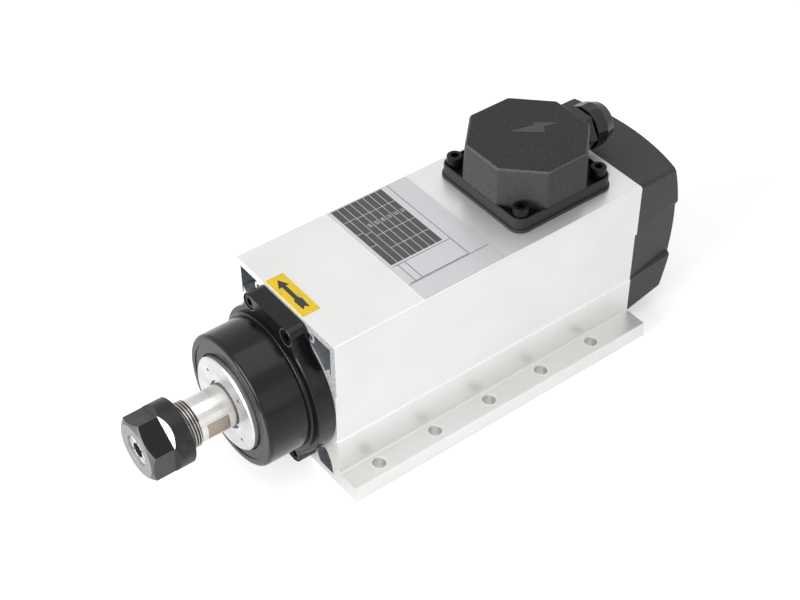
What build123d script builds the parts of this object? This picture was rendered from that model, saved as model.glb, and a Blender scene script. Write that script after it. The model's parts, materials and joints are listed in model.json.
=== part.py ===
from build123d import *
import os
from math import cos, pi, radians, sin, sqrt, tan

# Square, fan-cooled motor spindle with a collet nose and a terminal box on top
#
# X runs across the motor, Y along it towards the fan, and Z up. Sizes are in millimetres.
# Pieces are drawn with Y = 0 at the body's front face. They are moved as they are written out, so
# that the origin lies on the underside, in the middle of the ten mounting holes.

# Body extrusion
BODY_LENGTH = 197.0
BODY_WIDTH = 84.0
BODY_HEIGHT = 97.0
AXIS_HEIGHT = 49.5
BODY_EDGE_RADIUS = 1.2
BAND_DEPTH = 1.1
BAND_TOP = 65.0
BAND_BOTTOM = 32.0
LOWER_WALL_INSET = 0.5
BORE_RADIUS = 36.5

# Mounting base, with two rows of holes
BASE_WIDTH = 111.0
BASE_THICKNESS = 10.0
BASE_FILLET = 1.5
BASE_EDGE_RADIUS = 0.6
BASE_HOLE_RADIUS = 3.75
BASE_HOLE_ROW_SPACING = 96.0
BASE_HOLE_PITCH = 36.0
BASE_HOLES_PER_ROW = 5
BASE_FIRST_HOLE = 20.0

# Four air channels in the corners of the body, around the bore
CHANNEL_INNER_RADIUS = 42.3
CHANNEL_SIDE_WALL = 3.8
CHANNEL_TOP_WALL = 3.7
CHANNEL_FLOOR_WALL = 4.3
CHANNEL_FROM_MIDDLE = 22.0
CHANNEL_SIDE_HEIGHT = 12.3
CHANNEL_SLANT = 5.8
CHANNEL_SLIT_WIDTH = 1.0
CHANNEL_SLIT_HEIGHT = 4.5
LOWER_CHANNEL_WIDTH = 13.8
LOWER_CHANNEL_HEIGHT = 14.0
LOWER_CHANNEL_BULGE = 1.3
LOWER_CHANNEL_LEAN = 5.0
LOWER_CHANNEL_CUT = (2.2, 6.0)
SCREW_PORT_RADIUS = 3.4
SCREW_PORT_HOLE = 1.9

# Clearances between pieces
SHRINK_PLAY = 0.01
RUNNING_PLAY = 0.05
THREAD_PLAY = 0.06
SEAT_PLAY = 0.03
HOLE_PLAY = 0.25
SKIRT_PLAY = 0.3

# Front flange and bearing housing
FLANGE_THICKNESS = 10.0
FLANGE_DISC_RADIUS = 40.6
FLANGE_EAR_WIDTH = 42.0
FLANGE_EAR_REACH = 46.0
FLANGE_EAR_RADIUS = 6.0
FLANGE_BLEND = 10.0
FLANGE_EDGE = 0.5
FLANGE_SCREW_X = 15.8
FLANGE_SCREW_REACH = 41.0
FLANGE_COUNTERBORE = 5.6
FLANGE_SCREW_LENGTH = 16.0
FLANGE_THREAD_DEPTH = 16.0
LIP_RADIUS = 37.8
LIP_LENGTH = 2.5
HOUSING_RADIUS = 36.0
HOUSING_LENGTH = 35.0
HOUSING_EDGE = 2.0
HOUSING_FACE_STEP = 0.4
HOUSING_FACE_RADIUS = 31.5
SPIGOT_LENGTH = 5.0

# Bearing cap, screwed into the housing's mouth
CAP_RADIUS = 25.4
CAP_GAP = 1.0
CAP_PROUD = 2.8
CAP_SEAT_DEPTH = 2.6
CAP_CHAMFER = 0.8
CAP_BORE_GAP = 0.4
CAP_RIM_WIDTH = 2.3
SPANNER_HOLE_RADIUS = 0.9
SPANNER_HOLE_CIRCLE = 19.0
SPANNER_HOLE_DEPTH = 2.5

# Front bearings: two of 25 x 47 x 12, side by side
FRONT_BEARING = dict(bore=12.5, outside=23.5, width=12.0, ball=3.4, pitch=18.0, count=12)
FRONT_BEARING_START = -31.0
FRONT_SPACER_LENGTH = 2.0
LOCKNUT_LENGTH = 8.0
LOCKNUT_RADIUS = 17.0
HOUSING_SHOULDER_RADIUS = 20.5

# Rear bearing: 17 x 35 x 10, in the end shield
REAR_BEARING = dict(bore=8.5, outside=17.5, width=10.0, ball=2.4, pitch=13.0, count=9)
REAR_BEARING_INSET = 6.0
SPRING_THICKNESS = 0.4
SPRING_HEIGHT = 1.0
RING_WALL_SHARE = 0.30
GROOVE_PLAY = 0.05
CAGE_THICKNESS = 1.8
CAGE_WIDTH_SHARE = 0.76

# Shaft
SHAFT_FRONT = -79.5
THREAD_RADIUS = 12.5
THREAD_END = -57.5
THREAD_CHAMFER = 0.7
NECK_RADIUS = 11.5
LABYRINTH_RADIUS = 12.8
LABYRINTH_START = -36.3
SHOULDER_RADIUS = 15.5
SHOULDER_LENGTH = 1.0
CORE_SEAT_RADIUS = 12.0
REAR_BODY_RADIUS = 11.0
FAN_SEAT_RADIUS = 7.0
SHAFT_PAST_FAN = 2.0
FLAT_DISTANCE = 10.45
FLAT_START = -54.2
FLAT_END = -42.0
DRILL_RADIUS = 4.6
DRILL_DEPTH = 39.5

# Collet and its nut
TAPER_ANGLE = 8.0
COLLET_LENGTH = 31.5
COLLET_RADIUS = 10.5
COLLET_FACE_RADIUS = 7.6
COLLET_FACE_RIM = 0.6
COLLET_CONE_ANGLE = 30.0
COLLET_HEAD_RADIUS = 9.9
COLLET_GROOVE_RADIUS = 8.6
COLLET_GROOVE_START = 4.9
COLLET_GROOVE_END = 6.4
COLLET_TAPER_START = 6.9
COLLET_BORE_RADIUS = 4.0
COLLET_GRIP_LENGTH = 24.0
COLLET_RELIEF = 0.6
COLLET_SLOT = 0.8
COLLET_SLOTS = 6
COLLET_SLOT_END = 4.5
COLLET_REAR_SLOT_START = 8.0
COLLET_SETBACK = 1.0
NUT_FRONT = -87.8
NUT_LENGTH = 23.1
NUT_RADIUS = 17.5
NUT_ACROSS_FLATS = 30.0
NUT_FACE_RADIUS = 14.0
NUT_CHAMFER_LENGTH = 2.3
NUT_FLAT_LENGTH = 12.5
NUT_RUNOUT_LENGTH = 2.3
NUT_TURNED_BY = 23.0
NUT_MOUTH_RADIUS = 8.5
NUT_CONE_PLAY = 0.05
NUT_LIP_PLAY = 0.08
NUT_LIP_WIDTH = 1.3
NUT_BACK_EDGE = 0.5

# Stator and rotor
CORE_START = 45.0
CORE_REAR_SPACE = 52.0
STATOR_INNER_RADIUS = 23.0
AIR_GAP = 0.4
SLOT_COUNT = 24
SLOT_OPENING = 2.0
SLOT_NECK = 1.2
SLOT_DEPTH = 8.5
SLOT_INNER_WIDTH = 3.4
SLOT_OUTER_WIDTH = 5.4
SLOT_LINER = 0.25
WINDING_OVERHANG = 22.0
WINDING_GAP = 1.0
WINDING_INNER_RADIUS = 24.6
WINDING_OUTER_RADIUS = 34.5
WINDING_ROUND = 3.5
ROTOR_BAR_COUNT = 16
ROTOR_BAR_RADIUS = 2.0
ROTOR_BAR_CIRCLE = 18.8
END_RING_LENGTH = 8.0
END_RING_INNER_RADIUS = 14.5
END_RING_OUTER_RADIUS = 21.8

# Rear end shield
SHIELD_THICKNESS = 6.0
SHIELD_EAR_WIDTH = 41.0
SHIELD_TOP_REACH = 44.0
SHIELD_BOTTOM_REACH = 40.2
SHIELD_EAR_RADIUS = 4.0
SHIELD_SPIGOT_LENGTH = 4.0
SHIELD_HUB_RADIUS = 21.0
SHIELD_HOLE_RADIUS = 10.0
SHIELD_SCREW_TOP = 40.0
SHIELD_SCREW_BOTTOM = 36.2
SHIELD_SCREW_LENGTH = 12.0
SHIELD_THREAD_DEPTH = 12.0

# Fan cover
COVER_WIDTH = 82.6
COVER_TOP_DROP = 0.2
COVER_BOTTOM = 5.4
COVER_DRAFT = 0.7
COVER_BOTTOM_DRAFT = 12.5
COVER_WALL = 2.0
COVER_PANEL_STEP = 0.5
COVER_PANEL_DRAFT = 4.5
COVER_PANEL_TOP = 67.8
COVER_PANEL_BOTTOM = 32.8
COVER_PANEL_RISE = 0.105
COVER_UPPER_SLOPE = 1.7
COVER_LOWER_SLOPE = 0.35
COVER_CORNER = 1.5
COVER_BOTTOM_CORNER = 4.0
COVER_DOME_RADIUS = 138.0
COVER_DOME_HEIGHT = 57.0
COVER_LENGTH = 37.6
COVER_SCREW_OFFSET = 24.5
COVER_BOSS_RADIUS = 4.0
COVER_CUP_RADIUS = 5.6
COVER_CUP_DEPTH = 10.0
COVER_SCREW_LENGTH = 26.0
GRILLE_RADIUS = 28.5
GRILLE_SLOT = 3.4
GRILLE_PITCH = 6.0
GRILLE_SLOTS = 9

# Fan
FAN_GAP = 1.5
FAN_RADIUS = 29.5
FAN_PLATE = 1.5
FAN_HUB_RADIUS = 12.0
FAN_LENGTH = 15.5
FAN_BLADES = 9
FAN_BLADE_THICKNESS = 1.4
FAN_BLADE_LENGTH = 12.5
FAN_BLADE_SWEEP = 35.0
CLIP_THICKNESS = 1.0
CLIP_RADIUS = 9.0
CLIP_GROOVE_DEPTH = 0.5
CLIP_GAP = 5.0

# Terminal box
BOX_FROM_REAR = 44.2
BOX_FLANGE_LEDGE = 0.1
BOX_FLANGE_RADIUS = 6.0
BOX_FLANGE_THICKNESS = 6.4
BOX_DOME_WIDTH = 64.0
BOX_DOME_DRAFT = 0.8
BOX_DOME_CORNER = 2.6
BOX_DOME_EDGE = 1.6
BOX_WALL = 2.5
BOX_POCKET_RIM = 0.9
BOX_POCKET_DEPTH = 1.6
BOX_WASHER_RADIUS = 4.2
BOX_WASHER_THICKNESS = 1.3
BOX_SCREW_LENGTH = 12.0
GASKET_THICKNESS = 1.8
GASKET_OVERHANG = 0.8
GASKET_RIM = 4.0

# Terminals and leads inside the box
LEAD_HOLE_RADIUS = 8.0
GROMMET_WALL = 2.0
GROMMET_FLANGE = 1.5
GROMMET_DEPTH = 4.0
GROMMET_GAP = 0.998
TERMINAL_BLOCK = (34.0, 11.0, 12.0)
TERMINAL_BLOCK_GAP = 0.6
TERMINAL_PITCH = 10.6
TERMINAL_RADIUS = 1.5
TERMINAL_HEIGHT = 9.0
TERMINAL_NUT_WIDTH = 6.0
TERMINAL_NUT_HEIGHT = 2.4
BARRIER_HEIGHT = 4.0
BARRIER_THICKNESS = 1.4
LEAD_RADIUS = 1.2
LEAD_SPACING = 4.0
LEAD_RISE = 17.0
LEAD_BEND = 4.0
EARTH_SCREW_OFFSET = (17.0, 12.0)
EARTH_SCREW_LENGTH = 6.0
EARTH_THREAD_DEPTH = 7.0

# Cable gland
GLAND_RISE = 14.4
GLAND_THREAD_RADIUS = 8.0
GLAND_BORE_RADIUS = 5.5
GLAND_PAD_RADIUS = 12.9
GLAND_PAD_THICKNESS = 3.5
GLAND_HEX_WIDTH = 22.0
GLAND_HEX_LENGTH = 4.7
GLAND_WASHER_RADIUS = 11.4
GLAND_WASHER_THICKNESS = 1.3
GLAND_LOCKNUT_LENGTH = 4.0
GLAND_NUT_RADIUS = 12.5
GLAND_NUT_LENGTH = 13.3
GLAND_NUT_GAP = 0.9
GLAND_NUT_SIDES = 12
GLAND_NUT_WALL = 2.6
GLAND_NUT_RECESS = (11.0, 2.5)
GLAND_NUT_TAPER = 7.4
GLAND_NUT_END_RADIUS = 9.8
GLAND_NUT_SHOULDER = 8.0
GLAND_NUT_EDGE = 1.2
GLAND_SEAL_WALL = 1.6
GLAND_SEAL_LENGTH = 8.0

# Labels on top of the body
NAMEPLATE_WIDTH = 81.4
NAMEPLATE_START = 54.0
NAMEPLATE_LENGTH = 51.0
NAMEPLATE_THICKNESS = 0.3
ARROW_LABEL_WIDTH = 32.0
ARROW_LABEL_CENTRE = -1.0
ARROW_LABEL_START = 0.9
ARROW_LABEL_LENGTH = 10.3
ARROW_LABEL_THICKNESS = 0.15

# Screws: shank radius, head radius, head height, socket width
M5_SOCKET = dict(shank=2.5, head=4.25, height=5.0, key=4.0)
M4_BUTTON = dict(shank=2.0, head=3.8, height=2.2, key=2.5)

# Places worked out from the sizes above
PATTERN_MIDDLE = BASE_FIRST_HOLE + BASE_HOLE_PITCH * (BASE_HOLES_PER_ROW - 1) / 2
HALF_WIDTH = BODY_WIDTH / 2
FRONT_BEARINGS_END = FRONT_BEARING_START + 2 * FRONT_BEARING["width"] + FRONT_SPACER_LENGTH
CAP_FRONT = -HOUSING_LENGTH - CAP_PROUD
CAP_BACK = -HOUSING_LENGTH + CAP_SEAT_DEPTH
CORE_END = BODY_LENGTH - CORE_REAR_SPACE
ROTOR_RADIUS = STATOR_INNER_RADIUS - AIR_GAP
REAR_BEARING_START = BODY_LENGTH - REAR_BEARING_INSET
REAR_BEARING_END = REAR_BEARING_START + REAR_BEARING["width"]
SHIELD_BACK = BODY_LENGTH + SHIELD_THICKNESS
FAN_START = SHIELD_BACK + FAN_GAP
SHAFT_REAR = FAN_START + FAN_LENGTH + SHAFT_PAST_FAN
COVER_TOP = BODY_HEIGHT - COVER_TOP_DROP
COVER_PANEL_TAPER = tan(radians(COVER_PANEL_DRAFT))
COVER_INNER_HALF = COVER_WIDTH / 2 - COVER_PANEL_STEP - COVER_WALL
SHIELD_RADIUS = COVER_INNER_HALF - SHIELD_THICKNESS * COVER_PANEL_TAPER - SKIRT_PLAY
COVER_DOME_CENTRE = BODY_LENGTH + COVER_LENGTH - COVER_DOME_RADIUS
COVER_SCREW_SEAT = SHIELD_BACK + COVER_SCREW_LENGTH - SHIELD_THICKNESS + 1.0
BOX_CENTRE = BODY_LENGTH - BOX_FROM_REAR
LID_BOTTOM = BODY_HEIGHT + GASKET_THICKNESS
GLAND_HEIGHT = LID_BOTTOM + GLAND_RISE
BOX_DOME_TOP = GLAND_HEIGHT + GLAND_HEX_WIDTH / 2 + BOX_WALL + SKIRT_PLAY
BOX_FLANGE_WIDTH = BOX_DOME_WIDTH + 2 * BOX_FLANGE_LEDGE
BOX_SCREW_OFFSET = BOX_FLANGE_WIDTH / 2 - BOX_POCKET_RIM - M5_SOCKET["head"] - 2 * SKIRT_PLAY
GASKET_OPENING = BOX_DOME_WIDTH / 2 - GASKET_RIM
TERMINAL_BLOCK_CORNER = GASKET_OPENING * sqrt(2) - (TERMINAL_BLOCK[0] + TERMINAL_BLOCK[1]) / 2
TERMINAL_BLOCK_OFFSET = TERMINAL_BLOCK_GAP - TERMINAL_BLOCK_CORNER
TERMINAL_BLOCK_REAR = BOX_CENTRE + TERMINAL_BLOCK_OFFSET + TERMINAL_BLOCK[1] / 2
LEAD_HOLE_CENTRE = TERMINAL_BLOCK_REAR + GROMMET_GAP + GROMMET_WALL + LEAD_HOLE_RADIUS
FLANGE_TOP = LID_BOTTOM + BOX_FLANGE_THICKNESS
POCKET_FLOOR = FLANGE_TOP - BOX_POCKET_DEPTH
BOX_REAR = BOX_CENTRE + BOX_DOME_WIDTH / 2
GLAND_PAD_START = BOX_REAR - GLAND_PAD_THICKNESS
GLAND_HEX_START = BOX_REAR + GLAND_WASHER_THICKNESS
GLAND_HEX_END = GLAND_HEX_START + GLAND_HEX_LENGTH
GLAND_NUT_START = GLAND_HEX_END + GLAND_NUT_GAP
GLAND_NUT_END = GLAND_NUT_START + GLAND_NUT_LENGTH
NUT_BACK = NUT_FRONT + NUT_LENGTH
COLLET_FRONT = NUT_FRONT + COLLET_SETBACK

SPINDLE_SECTION = Plane(origin=(0, 0, AXIS_HEIGHT), x_dir=(0, 1, 0), z_dir=(1, 0, 0))
SPINDLE_AXIS = Axis((0, 0, AXIS_HEIGHT), (0, 1, 0))


def bar(section, start, end):
    """Extrude a section drawn in X and Z from one distance along the motor to another."""
    plane = Plane(origin=(0, end, 0), x_dir=(1, 0, 0), z_dir=(0, -1, 0))
    return extrude(plane * section, amount=end - start)


def on_axis(section):
    """Move a section that is drawn about the origin up to the spindle axis."""
    return Pos(0, AXIS_HEIGHT) * section


def rod(x, z, radius, start, end):
    """A round rod along Y."""
    return Pos(x, (start + end) / 2, z) * Rot(90, 0, 0) * Cylinder(radius, end - start)


def post(x, y, radius, bottom, top):
    """A round rod along Z."""
    return Pos(x, y, (bottom + top) / 2) * Cylinder(radius, top - bottom)


def disc(radius, start, end):
    """A round rod on the spindle axis."""
    return rod(0, AXIS_HEIGHT, radius, start, end)


def ring(inner, outer, start, end):
    """A plain ring on the spindle axis."""
    return disc(outer, start, end) - disc(inner, start, end)


def turned(points, rounds=()):
    """Revolve a profile of (distance, radius) points about the spindle axis.

    Each entry of rounds is a corner of the profile and the radius that it gets.
    """
    profile = make_face(Polyline(*points, close=True))
    for corner, radius in rounds:
        nearest = profile.vertices().sort_by_distance(Vector(corner[0], corner[1], 0))[0]
        profile = fillet(nearest, radius)
    return revolve(SPINDLE_SECTION * profile, SPINDLE_AXIS, 360)


def around_axis(shape, count, start=0.0):
    """Copies of a shape, evenly spaced about the spindle axis."""
    step = 360.0 / count
    return [shape.rotate(SPINDLE_AXIS, start + step * index) for index in range(count)]


def screw(sizes, length):
    """A socket-head screw along Z: the head stands on Z = 0 and the shank hangs below it."""
    head = post(0, 0, sizes["head"], 0, sizes["height"])
    head = chamfer(head.edges().group_by(Axis.Z)[-1], 0.35)
    socket_depth = 0.55 * sizes["height"]
    socket = Pos(0, 0, sizes["height"] - socket_depth) * RegularPolygon(sizes["key"] / 2, 6, major_radius=False)
    shank = post(0, 0, sizes["shank"], -length, 0)
    return head + shank - extrude(socket, amount=2 * socket_depth)


def facing_front(x, y, z):
    """A place for a screw whose head looks out of the front."""
    return Location((x, y, z), (90, 0, 0))


def facing_rear(x, y, z):
    """A place for a screw whose head looks out of the rear."""
    return Location((x, y, z), (-90, 0, 0))


def flange_screw_places():
    return [
        (side * FLANGE_SCREW_X, AXIS_HEIGHT + end * FLANGE_SCREW_REACH) for side in (-1, 1) for end in (-1, 1)
    ]


def shield_screw_places():
    heights = (AXIS_HEIGHT - SHIELD_SCREW_BOTTOM, AXIS_HEIGHT + SHIELD_SCREW_TOP)
    return [(side * FLANGE_SCREW_X, height) for side in (-1, 1) for height in heights]


def cover_screw_places():
    return [
        (side * COVER_SCREW_OFFSET, AXIS_HEIGHT + end * COVER_SCREW_OFFSET) for side in (-1, 1) for end in (-1, 1)
    ]


def box_screw_places():
    return [
        (side * BOX_SCREW_OFFSET, BOX_CENTRE + end * BOX_SCREW_OFFSET) for side in (-1, 1) for end in (-1, 1)
    ]


# Body extrusion


def body_outline():
    """The outside of the extrusion, half of it listed from the underside to the top and mirrored."""
    base = BASE_WIDTH / 2
    lower = HALF_WIDTH - LOWER_WALL_INSET
    band = HALF_WIDTH - BAND_DEPTH
    half = [
        (base, 0),
        (base, BASE_THICKNESS),
        (lower, BASE_THICKNESS),
        (lower, BAND_BOTTOM),
        (band, BAND_BOTTOM + lower - band),
        (band, BAND_TOP - BAND_DEPTH),
        (HALF_WIDTH, BAND_TOP),
        (HALF_WIDTH, BODY_HEIGHT),
    ]
    other = [(-x, z) for x, z in reversed(half)]
    section = make_face(Polyline(*half, *other, close=True))
    corners = section.vertices()
    top = corners.group_by(Axis.Y)[-1]
    section = fillet(top, BODY_EDGE_RADIUS)
    roots = [v for v in section.vertices() if abs(abs(v.X) - lower) < 0.01 and abs(v.Y - BASE_THICKNESS) < 0.01]
    section = fillet(roots, BASE_FILLET)
    rims = [v for v in section.vertices() if abs(abs(v.X) - base) < 0.01]
    return fillet(rims, BASE_EDGE_RADIUS)


def upper_channel():
    """An upper air channel, with the port that takes a screw at its inner end."""
    side = HALF_WIDTH - CHANNEL_SIDE_WALL
    top = BODY_HEIGHT - CHANNEL_TOP_WALL
    foot = top - CHANNEL_SIDE_HEIGHT
    outline = Polyline(
        (CHANNEL_FROM_MIDDLE, top),
        (side, top),
        (side, foot),
        (side - CHANNEL_SLANT, foot - CHANNEL_SLANT),
        (CHANNEL_FROM_MIDDLE, foot - CHANNEL_SLANT),
        close=True,
    )
    slit = Pos(side - CHANNEL_SLIT_WIDTH / 2, foot) * Rectangle(CHANNEL_SLIT_WIDTH, 2 * CHANNEL_SLIT_HEIGHT)
    port = Pos(CHANNEL_FROM_MIDDLE, top - SCREW_PORT_RADIUS)
    region = make_face(outline) + slit - on_axis(Circle(CHANNEL_INNER_RADIUS)) - port * Circle(SCREW_PORT_RADIUS)
    return region + port * Circle(SCREW_PORT_HOLE)


def lower_channel():
    """A lower air channel, shaped like half a leaf."""
    floor = CHANNEL_FLOOR_WALL
    inner = CHANNEL_FROM_MIDDLE
    tip = (inner + LOWER_CHANNEL_WIDTH, floor)
    crown = (tip[0] - LOWER_CHANNEL_LEAN, floor + LOWER_CHANNEL_HEIGHT)
    cut_across, cut_up = LOWER_CHANNEL_CUT
    middle = ((tip[0] + crown[0]) / 2 + LOWER_CHANNEL_BULGE, (tip[1] + crown[1]) / 2)
    edges = [
        Line((inner + cut_across, floor), tip),
        ThreePointArc(tip, middle, crown),
        Line(crown, (inner, crown[1])),
        Line((inner, crown[1]), (inner, floor + cut_up)),
        Line((inner, floor + cut_up), (inner + cut_across, floor)),
    ]
    return make_face(edges) - on_axis(Circle(CHANNEL_INNER_RADIUS))


def base_hole_places():
    row = BASE_HOLE_ROW_SPACING / 2
    stations = [BASE_FIRST_HOLE + BASE_HOLE_PITCH * index for index in range(BASE_HOLES_PER_ROW)]
    return [(side * row, station) for side in (-1, 1) for station in stations]


def body_extrusion():
    section = body_outline() - on_axis(Circle(BORE_RADIUS))
    for channel in (upper_channel(), lower_channel()):
        section -= channel
        section -= channel.mirror(Plane.YZ)
    body = bar(section, 0, BODY_LENGTH)
    for x, y in base_hole_places():
        body -= post(x, y, BASE_HOLE_RADIUS, -1, BASE_THICKNESS + 1)
    for x, z in flange_screw_places():
        body -= rod(x, z, M5_SOCKET["shank"] + THREAD_PLAY, -1, FLANGE_THREAD_DEPTH)
    for x, z in shield_screw_places():
        body -= rod(x, z, M4_BUTTON["shank"] + THREAD_PLAY, BODY_LENGTH - SHIELD_THREAD_DEPTH, BODY_LENGTH + 1)
    for x, y in box_screw_places():
        body -= post(x, y, M5_SOCKET["shank"] + THREAD_PLAY, BODY_HEIGHT - CHANNEL_TOP_WALL - 1, BODY_HEIGHT + 1)
    earth_x, earth_y = EARTH_SCREW_OFFSET
    earth_bottom = BODY_HEIGHT - EARTH_THREAD_DEPTH
    body -= post(earth_x, BOX_CENTRE + earth_y, M4_BUTTON["shank"] + THREAD_PLAY, earth_bottom, BODY_HEIGHT + 1)
    return body - post(0, LEAD_HOLE_CENTRE, LEAD_HOLE_RADIUS, AXIS_HEIGHT, BODY_HEIGHT + 1)


# Front flange, bearings and cap


def eared_plate(radius, ear_width, top_reach, bottom_reach, corner, blend):
    """A disc with a flat-topped ear above and below, blended into each other."""
    height = top_reach + bottom_reach
    ear = Pos(0, (top_reach - bottom_reach) / 2) * RectangleRounded(ear_width, height, corner)
    outline = Circle(radius) + ear
    joins = [v for v in outline.vertices() if abs(sqrt(v.X**2 + v.Y**2) - radius) < 0.01]
    return on_axis(fillet(joins, blend))


def front_flange():
    outline = eared_plate(
        FLANGE_DISC_RADIUS, FLANGE_EAR_WIDTH, FLANGE_EAR_REACH, FLANGE_EAR_REACH, FLANGE_EAR_RADIUS, FLANGE_BLEND
    )
    plate = bar(outline, -FLANGE_THICKNESS, 0)
    plate = chamfer(plate.faces().sort_by(Axis.Y)[0].outer_wire().edges(), FLANGE_EDGE)
    face = -HOUSING_LENGTH
    lip_front = -FLANGE_THICKNESS - LIP_LENGTH
    housing = turned(
        [
            (SPIGOT_LENGTH, 0),
            (SPIGOT_LENGTH, BORE_RADIUS - SEAT_PLAY),
            (-FLANGE_THICKNESS, BORE_RADIUS - SEAT_PLAY),
            (-FLANGE_THICKNESS, LIP_RADIUS),
            (lip_front, LIP_RADIUS),
            (lip_front, HOUSING_RADIUS),
            (face, HOUSING_RADIUS),
            (face, HOUSING_FACE_RADIUS),
            (face + HOUSING_FACE_STEP, HOUSING_FACE_RADIUS),
            (face + HOUSING_FACE_STEP, 0),
        ],
        rounds=[((face, HOUSING_RADIUS), HOUSING_EDGE), ((lip_front, LIP_RADIUS), 0.5)],
    )
    seat = FRONT_BEARING["outside"] + SHRINK_PLAY
    flange = plate + housing
    flange -= disc(CAP_RADIUS + CAP_GAP, face - 1, CAP_BACK)
    flange -= disc(seat, face, FRONT_BEARINGS_END)
    flange -= disc(HOUSING_SHOULDER_RADIUS, face, SPIGOT_LENGTH + 1)
    head_seat = -FLANGE_COUNTERBORE
    for x, z in flange_screw_places():
        flange -= rod(x, z, M5_SOCKET["shank"] + HOLE_PLAY, -FLANGE_THICKNESS - 1, 1)
        flange -= rod(x, z, M5_SOCKET["head"] + HOLE_PLAY, -FLANGE_THICKNESS - 1, head_seat + 1)
    return flange


def front_flange_screws():
    seat = -FLANGE_COUNTERBORE + 1
    return Compound([facing_front(x, seat, z) * screw(M5_SOCKET, FLANGE_SCREW_LENGTH) for x, z in flange_screw_places()])


def front_bearing_cap():
    bore = LABYRINTH_RADIUS + CAP_BORE_GAP
    rim_outer = FRONT_BEARING["outside"] - 0.2
    cap = turned(
        [
            (CAP_FRONT, bore),
            (CAP_FRONT, CAP_RADIUS - CAP_CHAMFER),
            (CAP_FRONT + CAP_CHAMFER, CAP_RADIUS),
            (CAP_BACK, CAP_RADIUS),
            (CAP_BACK, rim_outer),
            (FRONT_BEARING_START, rim_outer),
            (FRONT_BEARING_START, rim_outer - CAP_RIM_WIDTH),
            (CAP_BACK, rim_outer - CAP_RIM_WIDTH),
            (CAP_BACK, bore),
        ]
    )
    hole = rod(
        0, AXIS_HEIGHT + SPANNER_HOLE_CIRCLE, SPANNER_HOLE_RADIUS, CAP_FRONT - 1, CAP_FRONT + SPANNER_HOLE_DEPTH
    )
    for drilled in around_axis(hole, 4, start=45):
        cap -= drilled
    return cap


def groove(bearing, middle):
    """The round track that a bearing's balls run in."""
    track = Pos(middle, bearing["pitch"]) * Circle(bearing["ball"] + GROOVE_PLAY)
    return revolve(SPINDLE_SECTION * track, SPINDLE_AXIS, 360)


def outer_ring(bearing, start):
    wall = RING_WALL_SHARE * (bearing["outside"] - bearing["bore"])
    race = ring(bearing["outside"] - wall, bearing["outside"], start, start + bearing["width"])
    return race - groove(bearing, start + bearing["width"] / 2)


def inner_ring(bearing, start):
    wall = RING_WALL_SHARE * (bearing["outside"] - bearing["bore"])
    inner = bearing["bore"] + SHRINK_PLAY
    race = ring(inner, bearing["bore"] + wall, start, start + bearing["width"])
    return race - groove(bearing, start + bearing["width"] / 2)


def balls(bearing, start):
    middle = start + bearing["width"] / 2
    ball = Pos(0, middle, AXIS_HEIGHT + bearing["pitch"]) * Sphere(bearing["ball"])
    return around_axis(ball, bearing["count"])


def cage(bearing, start):
    """The ring that spaces a bearing's balls, with a round pocket for each."""
    half = CAGE_WIDTH_SHARE * bearing["width"] / 2
    middle = start + bearing["width"] / 2
    inner = bearing["pitch"] - CAGE_THICKNESS / 2
    band = ring(inner, inner + CAGE_THICKNESS, middle - half, middle + half)
    pocket = post(0, middle, bearing["ball"] + 2 * GROOVE_PLAY, AXIS_HEIGHT + 1, AXIS_HEIGHT + bearing["outside"])
    for hole in around_axis(pocket, bearing["count"]):
        band -= hole
    return band


def front_bearing_starts():
    return [FRONT_BEARING_START, FRONT_BEARING_START + FRONT_BEARING["width"] + FRONT_SPACER_LENGTH]


def front_bearing_outer_rings():
    return Compound([outer_ring(FRONT_BEARING, start) for start in front_bearing_starts()])


def front_bearing_inner_rings():
    return Compound([inner_ring(FRONT_BEARING, start) for start in front_bearing_starts()])


def rear_bearing_outer_ring():
    return outer_ring(REAR_BEARING, REAR_BEARING_START)


def rear_bearing_inner_ring():
    return inner_ring(REAR_BEARING, REAR_BEARING_START)


def front_bearing_balls():
    return Compound([ball for start in front_bearing_starts() for ball in balls(FRONT_BEARING, start)])


def rear_bearing_balls():
    return Compound(balls(REAR_BEARING, REAR_BEARING_START))


def front_bearing_cages():
    return Compound([cage(FRONT_BEARING, start) for start in front_bearing_starts()])


def rear_bearing_cage():
    return cage(REAR_BEARING, REAR_BEARING_START)


def spacer(inner, outer):
    start = FRONT_BEARING_START + FRONT_BEARING["width"]
    return ring(inner, outer, start, start + FRONT_SPACER_LENGTH)


def bearing_outer_spacer():
    return spacer(HOUSING_SHOULDER_RADIUS, FRONT_BEARING["outside"])


def bearing_inner_spacer():
    return spacer(FRONT_BEARING["bore"] + SHRINK_PLAY, FRONT_BEARING["bore"] + 3)


def bearing_locknut():
    """The slotted round nut that clamps the front inner rings on the shaft."""
    start = FRONT_BEARINGS_END
    nut = ring(FRONT_BEARING["bore"] + THREAD_PLAY, LOCKNUT_RADIUS, start, start + LOCKNUT_LENGTH)
    notch = Pos(0, start + LOCKNUT_LENGTH / 2, AXIS_HEIGHT + LOCKNUT_RADIUS) * Box(4, LOCKNUT_LENGTH + 2, 3)
    for cut in around_axis(notch, 4):
        nut -= cut
    return nut


# Shaft, collet and nut


def taper_radius(y, clearance=0.0):
    """The radius of the collet's taper at a distance along the spindle."""
    start = COLLET_FRONT + COLLET_TAPER_START
    return COLLET_RADIUS + clearance - (y - start) * tan(radians(TAPER_ANGLE))


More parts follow.
